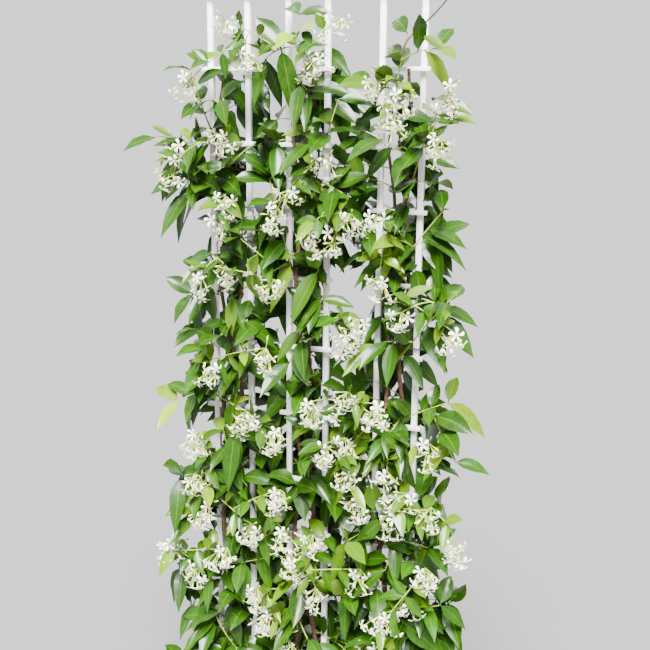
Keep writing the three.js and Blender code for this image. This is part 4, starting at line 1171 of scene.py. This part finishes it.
# Short side twigs fill the plant out round its vines, denser low down.
twig = {"tries": 7, "spacing": [27, 40], "lengths": [40, 105], "radius": 1.2, "pitch": 28, "leaf": 74, "lowest": 320}


def twigWay(start, draw):
    for _ in range(twig["tries"]):
        turn = draw(0, math.tau)
        aim = unit(np.array([math.cos(turn) * 1.3, math.sin(turn) * 0.75 + 0.1, draw(-0.2, 0.8)]))
        end = start + aim * draw(*twig["lengths"]) * (1.15 if start[2] < 1050 else 0.85)
        line = archWay(start, end, np.array([0, 0, draw(8, 20)]), 6)
        if all(clearOfBars(point, 2) for point in line[2:]) and roomFor([(point, 0.5) for point in line[2:]], 4):
            return line
    return None


twigs = 0
for side in ladder["centres"]:
    growth = newGrowth()
    draw = drawsFrom(4100 + abs(ladder["centres"][side]))
    for which in (0, 1):
        way = smoothWay(vineRoute(side, which, vine["tops"][side][which]), 12)
        at = 0
        for i in range(1, len(way)):
            at += np.linalg.norm(way[i] - way[i - 1])
            if at < twig["spacing"][way[i][2] > 1000] or way[i][2] < twig["lowest"]:
                continue
            at = 0
            line = twigWay(way[i], draw)
            if line is None:
                continue
            addStem(growth, line, np.linspace(twig["radius"], 0.7, len(line)), 5, 1, (0.8, 0.0))
            # A twig that ends behind the ladders gets older, darker leaves: painted shade for the back of the plant, on
            # top of real age.
            twigAgeAndShade = draw(0.65, 1.0) if line[-1][1] > -20 else draw(0.5, 0.9)
            leaves += clothe(growth, line, draw, 10, twig["pitch"], twig["leaf"], (twigAgeAndShade, twigAgeAndShade - draw(0.0, 0.3)), (), 3.0)
            twigs += 1
    if side == "right":
        tip = next(plant for plant in shoots if plant["name"] == "shoot-right-1")["stems"][0]["way"][-3]
        bare = smoothWay([tip, tip + [8, -2, 24], tip + [34, 4, 50], tip + [60, 2, 74], tip + [82, -6, 96]], 3)
        addStem(growth, bare, np.linspace(2.1, 1.2, len(bare)), 6, 1, (1.2, 1.2))
    makePiece(f"twigs-{side}", growth, [leafLook, stemLook])
print("leaves in all", leaves + sum(len(plant["blades"]) for plant in shoots), "on twigs", twigs)

for plant in shoots:
    makePiece(f"{plant['name']}-leafy", plant["growth"], [leafLook, stemLook], [plant["name"]])
for spray in sprays:
    makePiece(f"{spray['name']}-open", spray["growth"], [petalLook, tubeLook, stemLook, leafLook], [spray["name"]])

# A wide matt floor, grey enough to meet the sky in one pale tone under a soft high lamp, and the camera.
studio = {"floor": 400, "floorColour": "#676767", "sky": "#f4f5f6", "skyStrength": 1.5, "light": (0.5, -1.7, 2.6),
          "lightWidth": 30, "lightStrength": 33, "eye": (0.669, -1.771, 1.558), "lens": 55.03}


def setStage():
    nothingSelected()
    bpy.ops.mesh.primitive_plane_add(size=studio["floor"], location=(0, 0, 0))
    floor = bpy.context.object
    floor.name = "floor"
    material, tree, shader, place = startMaterial("paintedFloor", {
        "Base Color": paint(studio["floorColour"]), "Roughness": 1.0, "Specular IOR Level": 0.0})
    floor.data.materials.append(material)
    world = bpy.data.worlds.new("softSky")
    world.use_nodes = True
    world.node_tree.nodes["Background"].inputs["Color"].default_value = paint(studio["sky"])
    world.node_tree.nodes["Background"].inputs["Strength"].default_value = studio["skyStrength"]
    bpy.context.scene.world = world
    lamp = bpy.data.lights.new("softLight", "SUN")
    lamp.angle = math.radians(studio["lightWidth"])
    lamp.energy = studio["lightStrength"]
    holder = bpy.data.objects.new("softLight", lamp)
    holder.rotation_euler = Vector(studio["light"]).to_track_quat("Z", "Y").to_euler()
    bpy.context.scene.collection.objects.link(holder)
    lens = bpy.data.cameras.new("camera")
    lens.sensor_width = 36
    lens.lens = studio["lens"]
    camera = bpy.data.objects.new("camera", lens)
    right, above, ahead = (0.93905, 0.34371, 0.00652), (-0.08546, 0.21503, 0.97286), (-0.33298, 0.91412, -0.2313)
    camera.matrix_world = Matrix([[right[i], above[i], -ahead[i], studio["eye"][i]] for i in range(3)] + [[0, 0, 0, 1]])
    bpy.context.scene.collection.objects.link(camera)
    bpy.context.scene.camera = camera


for stray in [item for item in bpy.data.objects if item.name in ("Cube", "Light", "Camera")]:
    bpy.data.objects.remove(stray)
setStage()
print("stage set")
